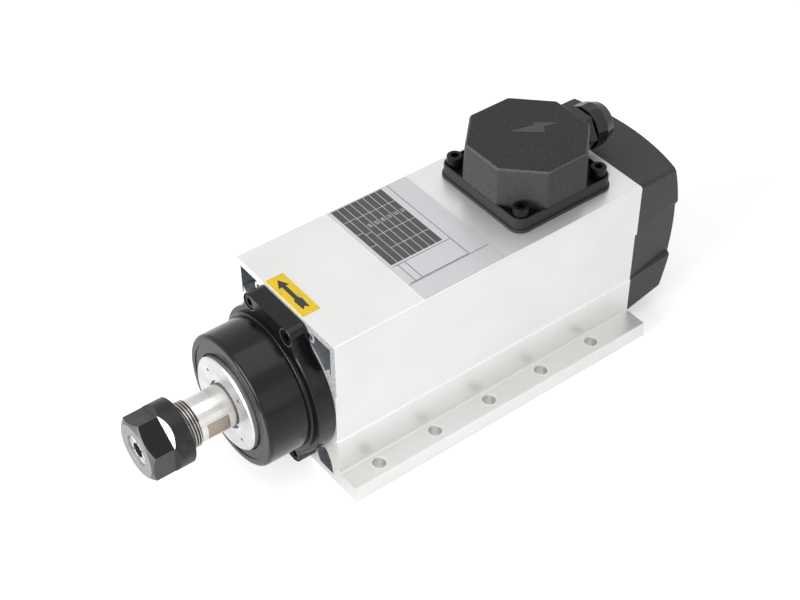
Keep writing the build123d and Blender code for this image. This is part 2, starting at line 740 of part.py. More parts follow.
def spindle_shaft():
    collet_end = COLLET_FRONT + COLLET_LENGTH
    drill_end = SHAFT_FRONT + DRILL_DEPTH
    shoulder_start = FRONT_BEARING_START - SHOULDER_LENGTH
    seat_end = FRONT_BEARINGS_END + LOCKNUT_LENGTH
    core_seat_end = CORE_END + END_RING_LENGTH
    groove_start = FAN_START + FAN_LENGTH
    groove_radius = FAN_SEAT_RADIUS - CLIP_GROOVE_DEPTH
    rear_seat = REAR_BEARING["bore"]
    shaft = turned(
        [
            (SHAFT_FRONT, taper_radius(SHAFT_FRONT, RUNNING_PLAY)),
            (SHAFT_FRONT, THREAD_RADIUS - THREAD_CHAMFER),
            (SHAFT_FRONT + THREAD_CHAMFER, THREAD_RADIUS),
            (THREAD_END - THREAD_CHAMFER, THREAD_RADIUS),
            (THREAD_END, NECK_RADIUS),
            (LABYRINTH_START, NECK_RADIUS),
            (LABYRINTH_START, LABYRINTH_RADIUS),
            (shoulder_start, LABYRINTH_RADIUS),
            (shoulder_start, SHOULDER_RADIUS),
            (FRONT_BEARING_START, SHOULDER_RADIUS),
            (FRONT_BEARING_START, FRONT_BEARING["bore"]),
            (seat_end, FRONT_BEARING["bore"]),
            (seat_end, CORE_SEAT_RADIUS),
            (core_seat_end, CORE_SEAT_RADIUS),
            (core_seat_end, REAR_BODY_RADIUS),
            (REAR_BEARING_START, REAR_BODY_RADIUS),
            (REAR_BEARING_START, rear_seat),
            (FAN_START, rear_seat),
            (FAN_START, FAN_SEAT_RADIUS),
            (groove_start, FAN_SEAT_RADIUS),
            (groove_start, groove_radius),
            (groove_start + CLIP_THICKNESS, groove_radius),
            (groove_start + CLIP_THICKNESS, FAN_SEAT_RADIUS),
            (SHAFT_REAR, FAN_SEAT_RADIUS),
            (SHAFT_REAR, 0),
            (drill_end, 0),
            (drill_end, DRILL_RADIUS),
            (collet_end + 2, DRILL_RADIUS),
            (collet_end + 2, taper_radius(collet_end + 2, RUNNING_PLAY)),
        ]
    )
    length = FLAT_END - FLAT_START
    beside = FLAT_DISTANCE + NECK_RADIUS / 2
    cutter = Pos(beside, FLAT_START + length / 2, AXIS_HEIGHT) * Box(NECK_RADIUS, length, 4 * NECK_RADIUS)
    return shaft - cutter - cutter.mirror(Plane.YZ)


def collet():
    """A slotted spring collet: cuts from the front and from the rear take turns around it."""
    front = COLLET_FRONT
    cone_length = (COLLET_HEAD_RADIUS - COLLET_FACE_RADIUS) / tan(radians(COLLET_CONE_ANGLE))
    cone_start = front + COLLET_FACE_RIM
    back = front + COLLET_LENGTH
    grip_end = front + COLLET_GRIP_LENGTH
    relief = COLLET_BORE_RADIUS + COLLET_RELIEF
    blank = turned(
        [
            (front, COLLET_BORE_RADIUS),
            (front, COLLET_FACE_RADIUS),
            (cone_start, COLLET_FACE_RADIUS),
            (cone_start + cone_length, COLLET_HEAD_RADIUS),
            (front + COLLET_GROOVE_START, COLLET_HEAD_RADIUS),
            (front + COLLET_GROOVE_START, COLLET_GROOVE_RADIUS),
            (front + COLLET_GROOVE_END, COLLET_GROOVE_RADIUS),
            (front + COLLET_TAPER_START, COLLET_RADIUS),
            (back, taper_radius(back)),
            (back, relief),
            (grip_end, relief),
            (grip_end, COLLET_BORE_RADIUS),
        ]
    )
    front_cut = Pos(0, 0, AXIS_HEIGHT + COLLET_RADIUS) * slot_box(front - 1, back - COLLET_SLOT_END)
    rear_cut = Pos(0, 0, AXIS_HEIGHT + COLLET_RADIUS) * slot_box(front + COLLET_REAR_SLOT_START, back + 1)
    for cut in around_axis(front_cut, COLLET_SLOTS) + around_axis(rear_cut, COLLET_SLOTS, 180 / COLLET_SLOTS):
        blank -= cut
    return blank


def slot_box(start, end):
    return Pos(0, (start + end) / 2, 0) * Box(COLLET_SLOT, end - start, 2 * COLLET_RADIUS)


def nut_flat_cutter():
    """What a mill takes off one flat of the nut, with the sloping run-out at its end."""
    flat = NUT_ACROSS_FLATS / 2
    past = 2 * (NUT_RADIUS - flat)
    flat_end = NUT_FRONT + NUT_FLAT_LENGTH
    slope = NUT_RUNOUT_LENGTH / (NUT_RADIUS - flat)
    profile = Polyline(
        (NUT_FRONT - 1, flat),
        (flat_end, flat),
        (flat_end + slope * past, flat + past),
        (NUT_FRONT - 1, flat + past),
        close=True,
    )
    return extrude(SPINDLE_SECTION * make_face(profile), amount=NUT_RADIUS, both=True)


def collet_nut():
    front = NUT_FRONT
    mouth = NUT_MOUTH_RADIUS
    cone_start = COLLET_FRONT + COLLET_FACE_RIM
    steep = tan(radians(COLLET_CONE_ANGLE))
    mouth_end = cone_start + (mouth - NUT_CONE_PLAY - COLLET_FACE_RADIUS) / steep
    seat = COLLET_HEAD_RADIUS + NUT_CONE_PLAY
    seat_end = cone_start + (COLLET_HEAD_RADIUS - COLLET_FACE_RADIUS) / steep
    lip = COLLET_GROOVE_RADIUS + NUT_LIP_PLAY
    lip_start = COLLET_FRONT + COLLET_GROOVE_START + NUT_CONE_PLAY
    lip_end = lip_start + NUT_LIP_WIDTH
    chamber = COLLET_RADIUS + NUT_LIP_PLAY
    thread = THREAD_RADIUS + THREAD_PLAY
    thread_start = SHAFT_FRONT - 2 * NUT_CONE_PLAY
    blank = turned(
        [
            (front, mouth),
            (front, NUT_FACE_RADIUS),
            (front + NUT_CHAMFER_LENGTH, NUT_RADIUS),
            (NUT_BACK - NUT_BACK_EDGE, NUT_RADIUS),
            (NUT_BACK, NUT_RADIUS - NUT_BACK_EDGE),
            (NUT_BACK, thread),
            (thread_start, thread),
            (thread_start, chamber),
            (lip_end, chamber),
            (lip_end, lip),
            (lip_start, lip),
            (lip_start, seat),
            (seat_end, seat),
            (mouth_end, mouth),
        ]
    )
    for cut in around_axis(nut_flat_cutter(), 6, start=-60 - NUT_TURNED_BY):
        blank -= cut
    return blank


# Stator and rotor


def slot_outline(inset):
    """Half the outline of a stator slot along X, mirrored. Inset draws the copper inside it."""
    neck = STATOR_INNER_RADIUS + SLOT_NECK
    deep = STATOR_INNER_RADIUS + SLOT_DEPTH
    half = [
        (neck + 0.6 + inset, SLOT_INNER_WIDTH / 2 - inset),
        (deep - inset, SLOT_OUTER_WIDTH / 2 - inset),
    ]
    if inset == 0:
        half = [(STATOR_INNER_RADIUS - 1, SLOT_OPENING / 2), (neck, SLOT_OPENING / 2)] + half
    other = [(x, -z) for x, z in reversed(half)]
    return make_face(Polyline(*half, *other, close=True))


def turned_copies(sketch, count):
    """Copies of a sketch, turned about its origin."""
    return [Rot(0, 0, 360 * index / count) * sketch for index in range(count)]


def stator_core():
    section = Circle(BORE_RADIUS - SHRINK_PLAY) - Circle(STATOR_INNER_RADIUS)
    section -= turned_copies(slot_outline(0), SLOT_COUNT)
    return bar(on_axis(section), CORE_START, CORE_END)


def winding_end(start, end):
    inner = WINDING_INNER_RADIUS
    outer = WINDING_OUTER_RADIUS
    corners = [(start, inner), (end, inner), (end, outer), (start, outer)]
    return turned(corners, rounds=[(corner, WINDING_ROUND) for corner in corners])


def stator_windings():
    """The copper in the slots, with the bundles of end turns that stand out of the core."""
    section = Sketch() + turned_copies(slot_outline(SLOT_LINER), SLOT_COUNT)
    reach = WINDING_GAP + WINDING_ROUND + 1
    copper = bar(on_axis(section), CORE_START - reach, CORE_END + reach)
    copper += winding_end(CORE_START - WINDING_OVERHANG, CORE_START - WINDING_GAP)
    return copper + winding_end(CORE_END + WINDING_GAP, CORE_END + WINDING_OVERHANG)


def rotor_core():
    section = Circle(ROTOR_RADIUS) - Circle(CORE_SEAT_RADIUS + SHRINK_PLAY)
    section -= turned_copies(Pos(ROTOR_BAR_CIRCLE, 0) * Circle(ROTOR_BAR_RADIUS), ROTOR_BAR_COUNT)
    return bar(on_axis(section), CORE_START, CORE_END)


def rotor_cage():
    """The cast bars in the rotor, joined by a ring at each end."""
    section = Sketch() + turned_copies(
        Pos(ROTOR_BAR_CIRCLE, 0) * Circle(ROTOR_BAR_RADIUS - SHRINK_PLAY), ROTOR_BAR_COUNT
    )
    cast = bar(on_axis(section), CORE_START - 1, CORE_END + 1)
    cast += ring(END_RING_INNER_RADIUS, END_RING_OUTER_RADIUS, CORE_START - END_RING_LENGTH, CORE_START)
    return cast + ring(END_RING_INNER_RADIUS, END_RING_OUTER_RADIUS, CORE_END, CORE_END + END_RING_LENGTH)


# Rear shield, fan and cover


def rear_shield():
    """The plate behind the body that holds the rear bearing in its hub."""
    outline = eared_plate(
        SHIELD_RADIUS, SHIELD_EAR_WIDTH, SHIELD_TOP_REACH, SHIELD_BOTTOM_REACH, SHIELD_EAR_RADIUS, FLANGE_BLEND / 2
    )
    shield = bar(outline, BODY_LENGTH, SHIELD_BACK)
    shield += disc(BORE_RADIUS - SEAT_PLAY, BODY_LENGTH - SHIELD_SPIGOT_LENGTH, BODY_LENGTH)
    shield += disc(SHIELD_HUB_RADIUS, REAR_BEARING_START - 1, BODY_LENGTH)
    shield -= disc(REAR_BEARING["outside"] + SHRINK_PLAY, REAR_BEARING_START - 2, REAR_BEARING_END + SPRING_HEIGHT)
    shield -= disc(SHIELD_HOLE_RADIUS, REAR_BEARING_START, SHIELD_BACK + 1)
    for x, z in shield_screw_places():
        shield -= rod(x, z, M4_BUTTON["shank"] + HOLE_PLAY, BODY_LENGTH - 1, SHIELD_BACK + 1)
        shield -= rod(x, z, M4_BUTTON["head"] + HOLE_PLAY, SHIELD_BACK - M4_BUTTON["height"], SHIELD_BACK + 1)
    for x, z in cover_screw_places():
        shield -= rod(x, z, M4_BUTTON["shank"] + THREAD_PLAY, BODY_LENGTH - 1, SHIELD_BACK + 1)
    return shield


def rear_shield_screws():
    seat = SHIELD_BACK - M4_BUTTON["height"]
    return Compound([facing_rear(x, seat, z) * screw(M4_BUTTON, SHIELD_SCREW_LENGTH) for x, z in shield_screw_places()])


def preload_spring():
    """The wavy washer that loads the rear bearing, as a dished ring between ring and shoulder."""
    start = REAR_BEARING_END
    end = start + SPRING_HEIGHT
    inner = REAR_BEARING["outside"] - 4.5
    outer = REAR_BEARING["outside"] - 0.3
    return turned(
        [(start, outer), (start + SPRING_THICKNESS, outer), (end, inner), (end - SPRING_THICKNESS, inner)]
    )


def cover_outline(depth):
    """The outside of the cover at a depth behind the body.

    The panel in the middle of each side slopes inwards more than the bands above and below it.
    """
    inset = depth * tan(radians(COVER_DRAFT))
    half = COVER_WIDTH / 2 - inset
    panel = COVER_WIDTH / 2 - COVER_PANEL_STEP - depth * COVER_PANEL_TAPER
    panel_bottom = COVER_PANEL_BOTTOM + depth * COVER_PANEL_RISE
    step = half - panel
    top = COVER_TOP - inset
    bottom = COVER_BOTTOM + depth * tan(radians(COVER_BOTTOM_DRAFT))
    side = [
        (half - COVER_BOTTOM_CORNER, bottom),
        (half, bottom + COVER_BOTTOM_CORNER),
        (half, panel_bottom - step * COVER_LOWER_SLOPE),
        (panel, panel_bottom),
        (panel, COVER_PANEL_TOP),
        (half, COVER_PANEL_TOP + step * COVER_UPPER_SLOPE),
        (half, top - COVER_CORNER),
        (half - COVER_CORNER, top),
    ]
    return mirrored_outline(side)


def cover_cavity_outline(depth):
    inset = depth * tan(radians(COVER_DRAFT))
    half = COVER_INNER_HALF - depth * COVER_PANEL_TAPER
    top = COVER_TOP - COVER_WALL - inset
    bottom = COVER_BOTTOM + COVER_WALL + depth * tan(radians(COVER_BOTTOM_DRAFT))
    return mirrored_outline([(half - COVER_CORNER, bottom), (half, bottom + COVER_CORNER), (half, top)])


def mirrored_outline(side):
    other = [(-x, z) for x, z in reversed(side)]
    return make_face(Polyline(*side, *other, close=True))


def between_outlines(outline, start_depth, end_depth):
    """A straight-sided solid between the outlines at two depths behind the body."""
    faces = []
    for depth in (start_depth, end_depth):
        plane = Plane(origin=(0, BODY_LENGTH + depth, 0), x_dir=(1, 0, 0), z_dir=(0, -1, 0))
        faces.append(plane * outline(depth))
    return loft(faces, ruled=True)


def cover_dome(radius):
    return Pos(0, COVER_DOME_CENTRE, COVER_DOME_HEIGHT) * Sphere(radius)


def grille_slots():
    """Upright slots side by side within a circle."""
    slots = []
    for index in range(GRILLE_SLOTS):
        x = (index - (GRILLE_SLOTS - 1) / 2) * GRILLE_PITCH
        length = 2 * sqrt(GRILLE_RADIUS**2 - x**2)
        slots.append(Pos(x, 0) * Rot(0, 0, 90) * SlotOverall(length, GRILLE_SLOT))
    return Sketch() + slots


def fan_cover():
    outside = between_outlines(cover_outline, 0, COVER_LENGTH) & cover_dome(COVER_DOME_RADIUS)
    cavity = between_outlines(cover_cavity_outline, 0, COVER_LENGTH) & cover_dome(COVER_DOME_RADIUS - COVER_WALL)
    cover = outside - cavity
    rear = BODY_LENGTH + COVER_LENGTH
    for x, z in cover_screw_places():
        boss = rod(x, z, COVER_BOSS_RADIUS, SHIELD_BACK, rear)
        boss += rod(x, z, COVER_CUP_RADIUS, COVER_SCREW_SEAT - COVER_WALL, rear)
        cover += boss & outside
    for x, z in cover_screw_places():
        cover -= rod(x, z, M4_BUTTON["shank"] + HOLE_PLAY, SHIELD_BACK - 1, rear)
        cover -= rod(x, z, M4_BUTTON["head"] + HOLE_PLAY, COVER_SCREW_SEAT, rear)
    return cover - bar(on_axis(grille_slots()), SHAFT_REAR + 1, rear + 1)


def fan_cover_screws():
    return Compound(
        [
            facing_rear(x, COVER_SCREW_SEAT, z) * screw(M4_BUTTON, COVER_SCREW_LENGTH)
            for x, z in cover_screw_places()
        ]
    )


def fan_blade():
    """One swept blade, drawn about the spindle axis."""
    points = []
    for share in (0.0, 0.5, 1.0):
        radius = FAN_HUB_RADIUS - 1 + share * (FAN_RADIUS - FAN_HUB_RADIUS + 0.5)
        angle = radians(FAN_BLADE_SWEEP) * share**1.4
        points.append((radius * cos(angle), radius * sin(angle)))
    return trace(ThreePointArc(*points), FAN_BLADE_THICKNESS)


def cooling_fan():
    plate_end = FAN_START + FAN_PLATE
    fan = disc(FAN_RADIUS, FAN_START, plate_end)
    fan += disc(FAN_HUB_RADIUS, FAN_START, FAN_START + FAN_LENGTH)
    blades = Sketch() + turned_copies(fan_blade(), FAN_BLADES)
    fan += bar(on_axis(blades), plate_end - 0.5, plate_end + FAN_BLADE_LENGTH)
    return fan - disc(FAN_SEAT_RADIUS + RUNNING_PLAY, FAN_START - 1, FAN_START + FAN_LENGTH + 1)


def fan_clip():
    """The open spring ring that keeps the fan on the shaft."""
    start = FAN_START + FAN_LENGTH + RUNNING_PLAY
    end = start + CLIP_THICKNESS - 2 * RUNNING_PLAY
    clip = ring(FAN_SEAT_RADIUS - CLIP_GROOVE_DEPTH + RUNNING_PLAY, CLIP_RADIUS, start, end)
    return clip - Pos(0, start, AXIS_HEIGHT - CLIP_RADIUS) * Box(CLIP_GAP, 4, CLIP_RADIUS)


# Terminal box


def octagon(width):
    """An eight-sided outline with flats to the front, rear and sides and slightly round corners."""
    shape = RegularPolygon(width / 2, 8, major_radius=False, rotation=22.5)
    return fillet(shape.vertices(), BOX_DOME_CORNER)


def octagon_dome(width, bottom, top):
    upper = width - 2 * BOX_DOME_DRAFT
    dome = loft([Pos(0, BOX_CENTRE, bottom) * octagon(width), Pos(0, BOX_CENTRE, top) * octagon(upper)], ruled=True)
    return dome


def pocket():
    """The three-cornered pocket beside one slanting wall of the dome."""
    rim = BOX_FLANGE_WIDTH / 2 - BOX_POCKET_RIM
    diagonal = BOX_DOME_WIDTH / 2 * sqrt(2)
    corner = BOX_FLANGE_RADIUS - BOX_POCKET_RIM
    shape = make_face(Polyline((rim, diagonal - rim), (rim, rim), (diagonal - rim, rim), close=True))
    tip = shape.vertices().sort_by_distance(Vector(rim, rim, 0))[0]
    return extrude(Pos(0, 0, POCKET_FLOOR) * fillet(tip, corner), amount=2 * BOX_POCKET_DEPTH)


def terminal_box_lid():
    foot = RectangleRounded(BOX_FLANGE_WIDTH, BOX_FLANGE_WIDTH, BOX_FLANGE_RADIUS)
    lid = Pos(0, BOX_CENTRE, LID_BOTTOM) * extrude(foot, amount=BOX_FLANGE_THICKNESS)
    lid = chamfer(lid.edges().group_by(Axis.Z)[-1], 0.5)
    dome = octagon_dome(BOX_DOME_WIDTH, LID_BOTTOM, BOX_DOME_TOP)
    dome = fillet(dome.edges().group_by(Axis.Z)[-1], BOX_DOME_EDGE)
    lid += dome
    for turn in range(4):
        lid -= (Pos(0, BOX_CENTRE, 0) * Rot(0, 0, 90 * turn) * pocket()) - dome
    lid -= octagon_dome(BOX_DOME_WIDTH - 2 * BOX_WALL, LID_BOTTOM - 1, BOX_DOME_TOP - BOX_WALL)
    lid += rod(0, GLAND_HEIGHT, GLAND_PAD_RADIUS, GLAND_PAD_START, BOX_REAR)
    for x, y in box_screw_places():
        lid -= post(x, y, M5_SOCKET["shank"] + HOLE_PLAY, LID_BOTTOM - 1, POCKET_FLOOR + 1)
    lid -= rod(0, GLAND_HEIGHT, GLAND_WASHER_RADIUS + HOLE_PLAY, BOX_REAR, BOX_REAR + 5)
    return lid - rod(0, GLAND_HEIGHT, GLAND_THREAD_RADIUS + THREAD_PLAY, BOX_CENTRE, BOX_REAR + 5)


def terminal_box_gasket():
    width = BOX_FLANGE_WIDTH + 2 * GASKET_OVERHANG
    sheet = RectangleRounded(width, width, BOX_FLANGE_RADIUS + GASKET_OVERHANG)
    opening = RegularPolygon(GASKET_OPENING, 8, major_radius=False, rotation=22.5)
    gasket = Pos(0, BOX_CENTRE, BODY_HEIGHT) * extrude(sheet - opening, amount=GASKET_THICKNESS)
    for x, y in box_screw_places():
        gasket -= post(x, y, M5_SOCKET["shank"] + HOLE_PLAY, BODY_HEIGHT - 1, LID_BOTTOM + 1)
    return gasket


def terminal_box_washers():
    """A spring washer under each screw head, with its slit."""
    top = POCKET_FLOOR + BOX_WASHER_THICKNESS
    washers = []
    for x, y in box_screw_places():
        washer = post(x, y, BOX_WASHER_RADIUS, POCKET_FLOOR, top)
        washer -= post(x, y, M5_SOCKET["shank"] + HOLE_PLAY / 2, POCKET_FLOOR - 1, top + 1)
        slit = Box(BOX_WASHER_RADIUS, HOLE_PLAY, 2 * BOX_WASHER_THICKNESS)
        washers.append(washer - Pos(x + BOX_WASHER_RADIUS / 2 + 1, y, top) * slit)
    return Compound(washers)


def terminal_box_screws():
    seat = POCKET_FLOOR + BOX_WASHER_THICKNESS
    return Compound([Pos(x, y, seat) * screw(M5_SOCKET, BOX_SCREW_LENGTH) for x, y in box_screw_places()])


def terminal_places():
    y = BOX_CENTRE + TERMINAL_BLOCK_OFFSET
    return [(TERMINAL_PITCH * index, y) for index in (-1, 0, 1)]


def terminal_block():
    """The moulded block that carries the three studs, with ribs between them."""
    width, depth, height = TERMINAL_BLOCK
    y = BOX_CENTRE + TERMINAL_BLOCK_OFFSET
    block = Pos(0, y, BODY_HEIGHT + height / 2) * Box(width, depth, height)
    rib = Box(BARRIER_THICKNESS, depth, BARRIER_HEIGHT)
    for index in range(4):
        x = (index - 1.5) * TERMINAL_PITCH
        block += Pos(x, y, BODY_HEIGHT + height + BARRIER_HEIGHT / 2) * rib
    for x, stud_y in terminal_places():
        block -= post(x, stud_y, TERMINAL_RADIUS + THREAD_PLAY, BODY_HEIGHT + height / 2, BODY_HEIGHT + height + 1)
    return block


def terminal_studs():
    """Each stud with its washer and nut, as it comes moulded in."""
    top = BODY_HEIGHT + TERMINAL_BLOCK[2]
    studs = []
    for x, y in terminal_places():
        stud = post(x, y, TERMINAL_RADIUS, BODY_HEIGHT + TERMINAL_BLOCK[2] / 2, top + TERMINAL_HEIGHT)
        nut = Pos(x, y, top) * RegularPolygon(TERMINAL_NUT_WIDTH / 2, 6, major_radius=False)
        studs.append(stud + extrude(nut, amount=TERMINAL_NUT_HEIGHT))
    return Compound(studs)


def phase_leads():
    """Three leads from the end turns, up through the grommet and over to the studs."""
    start_z = AXIS_HEIGHT + WINDING_OUTER_RADIUS + RUNNING_PLAY
    level = BODY_HEIGHT + LEAD_RISE
    leads = []
    for index, (stud_x, stud_y) in zip((-1, 0, 1), terminal_places()):
        foot = Vector(index * LEAD_SPACING, LEAD_HOLE_CENTRE, start_z)
        bend = Vector(foot.X, foot.Y, level)
        stud = Vector(stud_x, stud_y, level)
        end = stud + (bend - stud).normalized() * (TERMINAL_RADIUS + RUNNING_PLAY + 0.3)
        route = FilletPolyline(foot, bend, end, radius=LEAD_BEND)
        leads.append(sweep(Plane(origin=foot, z_dir=(0, 0, 1)) * Circle(LEAD_RADIUS), path=route))
    return Compound(leads)


def lead_grommet():
    hole = LEAD_HOLE_RADIUS - SEAT_PLAY
    bottom = BODY_HEIGHT - GROMMET_DEPTH
    top = BODY_HEIGHT + GROMMET_FLANGE
    grommet = post(0, LEAD_HOLE_CENTRE, hole, bottom, BODY_HEIGHT)
    grommet += post(0, LEAD_HOLE_CENTRE, hole + GROMMET_WALL, BODY_HEIGHT, top)
    return grommet - post(0, LEAD_HOLE_CENTRE, hole - GROMMET_WALL, bottom - 1, top + 1)


def earth_screw():
    x, y = EARTH_SCREW_OFFSET
    return Pos(x, BOX_CENTRE + y, BODY_HEIGHT) * screw(M4_BUTTON, EARTH_SCREW_LENGTH)


# Cable gland


def gland_hexagon():
    return Pos(0, GLAND_HEIGHT) * RegularPolygon(GLAND_HEX_WIDTH / 2, 6, major_radius=False)


def gland_body():
    inner_end = GLAND_PAD_START - GLAND_LOCKNUT_LENGTH - 1
    body = bar(gland_hexagon(), GLAND_HEX_START, GLAND_HEX_END)
    body += rod(0, GLAND_HEIGHT, GLAND_THREAD_RADIUS, inner_end, GLAND_HEX_START)
    body += rod(0, GLAND_HEIGHT, GLAND_THREAD_RADIUS, GLAND_HEX_END, GLAND_HEX_END + GLAND_NUT_LENGTH / 2)
    cup = GLAND_BORE_RADIUS + GLAND_SEAL_WALL / 2
    body -= rod(0, GLAND_HEIGHT, cup, GLAND_HEX_END, GLAND_NUT_END)
    return body - rod(0, GLAND_HEIGHT, GLAND_BORE_RADIUS, inner_end - 1, GLAND_NUT_END)


def gland_washer():
    washer = rod(0, GLAND_HEIGHT, GLAND_WASHER_RADIUS, BOX_REAR, GLAND_HEX_START)
    return washer - rod(0, GLAND_HEIGHT, GLAND_THREAD_RADIUS + SEAT_PLAY, BOX_REAR - 1, GLAND_HEX_START + 1)


def gland_locknut():
    start = GLAND_PAD_START - GLAND_LOCKNUT_LENGTH
    nut = bar(gland_hexagon(), start, GLAND_PAD_START)
    return nut - rod(0, GLAND_HEIGHT, GLAND_THREAD_RADIUS + THREAD_PLAY, start - 1, GLAND_PAD_START + 1)


def gland_dome_nut():
    """The twelve-sided nut, hollowed at the front and rounded off towards the cable."""
    sides = RegularPolygon(GLAND_NUT_RADIUS, GLAND_NUT_SIDES, rotation=180 / GLAND_NUT_SIDES)
    nut = bar(Pos(0, GLAND_HEIGHT) * sides, GLAND_NUT_START, GLAND_NUT_END)
    front = (GLAND_NUT_START - 1, GLAND_NUT_RADIUS + 0.1)
    shoulder = (GLAND_NUT_END - GLAND_NUT_TAPER, GLAND_NUT_RADIUS + 0.1)
    end = (GLAND_NUT_END, GLAND_NUT_END_RADIUS)
    rounded = turned(
        [(front[0], 0), front, shoulder, end, (end[0], 0)],
        rounds=[(shoulder, GLAND_NUT_SHOULDER), (end, GLAND_NUT_EDGE)],
    )
    nut = nut & (Pos(0, 0, GLAND_HEIGHT - AXIS_HEIGHT) * rounded)
    recess, recess_depth = GLAND_NUT_RECESS
    nut -= rod(0, GLAND_HEIGHT, recess, GLAND_NUT_START - 1, GLAND_NUT_START + recess_depth)
    thread = GLAND_THREAD_RADIUS + THREAD_PLAY
    nut -= rod(0, GLAND_HEIGHT, thread, GLAND_NUT_START - 1, GLAND_NUT_END - GLAND_NUT_WALL)
    return nut - rod(0, GLAND_HEIGHT, GLAND_BORE_RADIUS, GLAND_NUT_START, GLAND_NUT_END + 1)


def gland_seal():
    """The rubber sleeve that the dome nut squeezes round a cable."""
    outer = GLAND_BORE_RADIUS + GLAND_SEAL_WALL / 2 - SEAT_PLAY
    end = GLAND_NUT_END - GLAND_NUT_WALL - SEAT_PLAY
    sleeve = rod(0, GLAND_HEIGHT, outer, GLAND_HEX_END + RUNNING_PLAY, end)
    bore = GLAND_BORE_RADIUS - GLAND_SEAL_WALL / 2
    return sleeve - rod(0, GLAND_HEIGHT, bore, GLAND_HEX_END - 1, end + 1)


# Labels


def nameplate():
    y = NAMEPLATE_START + NAMEPLATE_LENGTH / 2
    plate = RectangleRounded(NAMEPLATE_WIDTH, NAMEPLATE_LENGTH, 1.0)
    return Pos(0, y, BODY_HEIGHT) * extrude(plate, amount=NAMEPLATE_THICKNESS)


def arrow_label():
    y = ARROW_LABEL_START + ARROW_LABEL_LENGTH / 2
    label = Rectangle(ARROW_LABEL_WIDTH, ARROW_LABEL_LENGTH)
    return Pos(ARROW_LABEL_CENTRE, y, BODY_HEIGHT) * extrude(label, amount=ARROW_LABEL_THICKNESS)


NODES = [
    body_extrusion,
    front_flange,
    front_flange_screws,
    front_bearing_cap,
    front_bearing_outer_rings,
    front_bearing_inner_rings,
    bearing_outer_spacer,
    bearing_inner_spacer,
    front_bearing_balls,
    front_bearing_cages,
    bearing_locknut,
    spindle_shaft,
    collet,
    collet_nut,
    stator_core,
    stator_windings,
    rotor_core,
    rotor_cage,
    rear_shield,
    rear_shield_screws,
    rear_bearing_outer_ring,
    rear_bearing_inner_ring,
    rear_bearing_balls,
    rear_bearing_cage,
    preload_spring,
    cooling_fan,
    fan_clip,
    fan_cover,
    fan_cover_screws,
    terminal_box_gasket,
    terminal_box_lid,
    terminal_box_washers,
    terminal_box_screws,
    terminal_block,
    terminal_studs,
    phase_leads,
    lead_grommet,
    earth_screw,
    gland_body,
    gland_washer,
    gland_locknut,
    gland_dome_nut,
    gland_seal,
    nameplate,
    arrow_label,
]


def write_nodes():
    os.makedirs("parts", exist_ok=True)
    for make in NODES:
        shape = Pos(0, -PATTERN_MIDDLE, 0) * make()
        export_step(shape, os.path.join("parts", make.__name__ + ".step"))


write_nodes()
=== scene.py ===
"""The looks of a square, fan-cooled motor spindle: finishes, thread, printed labels and moulded relief.

Everything is in metres in the model's own frame: X across the motor, Y along it towards the fan, Z up.
"""

import json
from math import cos, pi, radians, sin

import bmesh
import bpy
from mathutils import Euler, Matrix, Vector


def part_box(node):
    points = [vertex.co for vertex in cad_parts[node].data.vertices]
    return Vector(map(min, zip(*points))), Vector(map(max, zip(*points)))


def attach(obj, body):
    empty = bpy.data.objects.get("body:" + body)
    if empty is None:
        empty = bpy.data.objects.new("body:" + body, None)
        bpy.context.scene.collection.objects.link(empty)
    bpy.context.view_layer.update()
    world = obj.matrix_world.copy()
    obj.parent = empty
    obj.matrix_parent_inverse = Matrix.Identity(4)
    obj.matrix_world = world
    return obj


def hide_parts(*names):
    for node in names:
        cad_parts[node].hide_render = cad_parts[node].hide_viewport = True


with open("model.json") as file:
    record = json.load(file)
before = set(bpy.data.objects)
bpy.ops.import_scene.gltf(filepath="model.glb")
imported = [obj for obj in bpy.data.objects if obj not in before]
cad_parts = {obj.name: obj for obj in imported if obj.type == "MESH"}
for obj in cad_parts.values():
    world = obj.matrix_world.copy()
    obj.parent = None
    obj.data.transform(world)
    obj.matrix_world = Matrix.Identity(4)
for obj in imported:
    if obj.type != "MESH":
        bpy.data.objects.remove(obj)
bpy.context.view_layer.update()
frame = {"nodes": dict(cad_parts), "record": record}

MM = 0.001
NODES = frame["nodes"]

# The spindle axis, read from the bearing cap that is turned about it
BODY_LOW, BODY_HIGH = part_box("body_extrusion")
CAP_LOW, CAP_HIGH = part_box("front_bearing_cap")
AXIS_HEIGHT = (CAP_LOW[2] + CAP_HIGH[2]) / 2
BODY_FRONT = BODY_LOW[1]
BODY_REAR = BODY_HIGH[1]
LID_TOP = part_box("terminal_box_lid")[1][2]

# Camera, as fitted to the photo
CAMERA_AZIMUTH = radians(52.93)
CAMERA_ELEVATION = radians(42.52)
CAMERA_ROLL = radians(-0.43)
CAMERA_PLACE = (0.48052, -0.38484, 0.61056)
CAMERA_LENS = 71.24
SENSOR_WIDTH = 36.0
CAMERA_CLIP = 0.01

# Nose of the shaft: thread, its dark grooves and the wrench flats
NOSE_LENGTH = 24.0 * MM
NOSE_MARGIN = 0.5 * MM
THREAD_PITCH = 1.5 * MM
THREAD_ROOT = 11.6 * MM
THREAD_CREST = 12.46 * MM
THREAD_STEPS_PER_TURN = 40
THREAD_LENGTH = 21.2 * MM
THREAD_START = 0.4 * MM
THREAD_REAR = BODY_FRONT - 57.4 * MM
RIDGE_SUNK = 0.1 * MM
RIDGE_HALF_ROOT = 0.62 * MM
RIDGE_HALF_CREST = 0.12 * MM
GROOVE_DARK = 11.9 * MM
GROOVE_BRIGHT = 12.4 * MM
FLAT_FRONT = BODY_FRONT - 54.3 * MM
FLAT_REAR = BODY_FRONT - 41.9 * MM
FLAT_NEAR = 10.2 * MM
FLAT_FAR = 11.45 * MM
FLAT_SOFT = 0.03 * MM
WELD_DISTANCE = 0.002 * MM
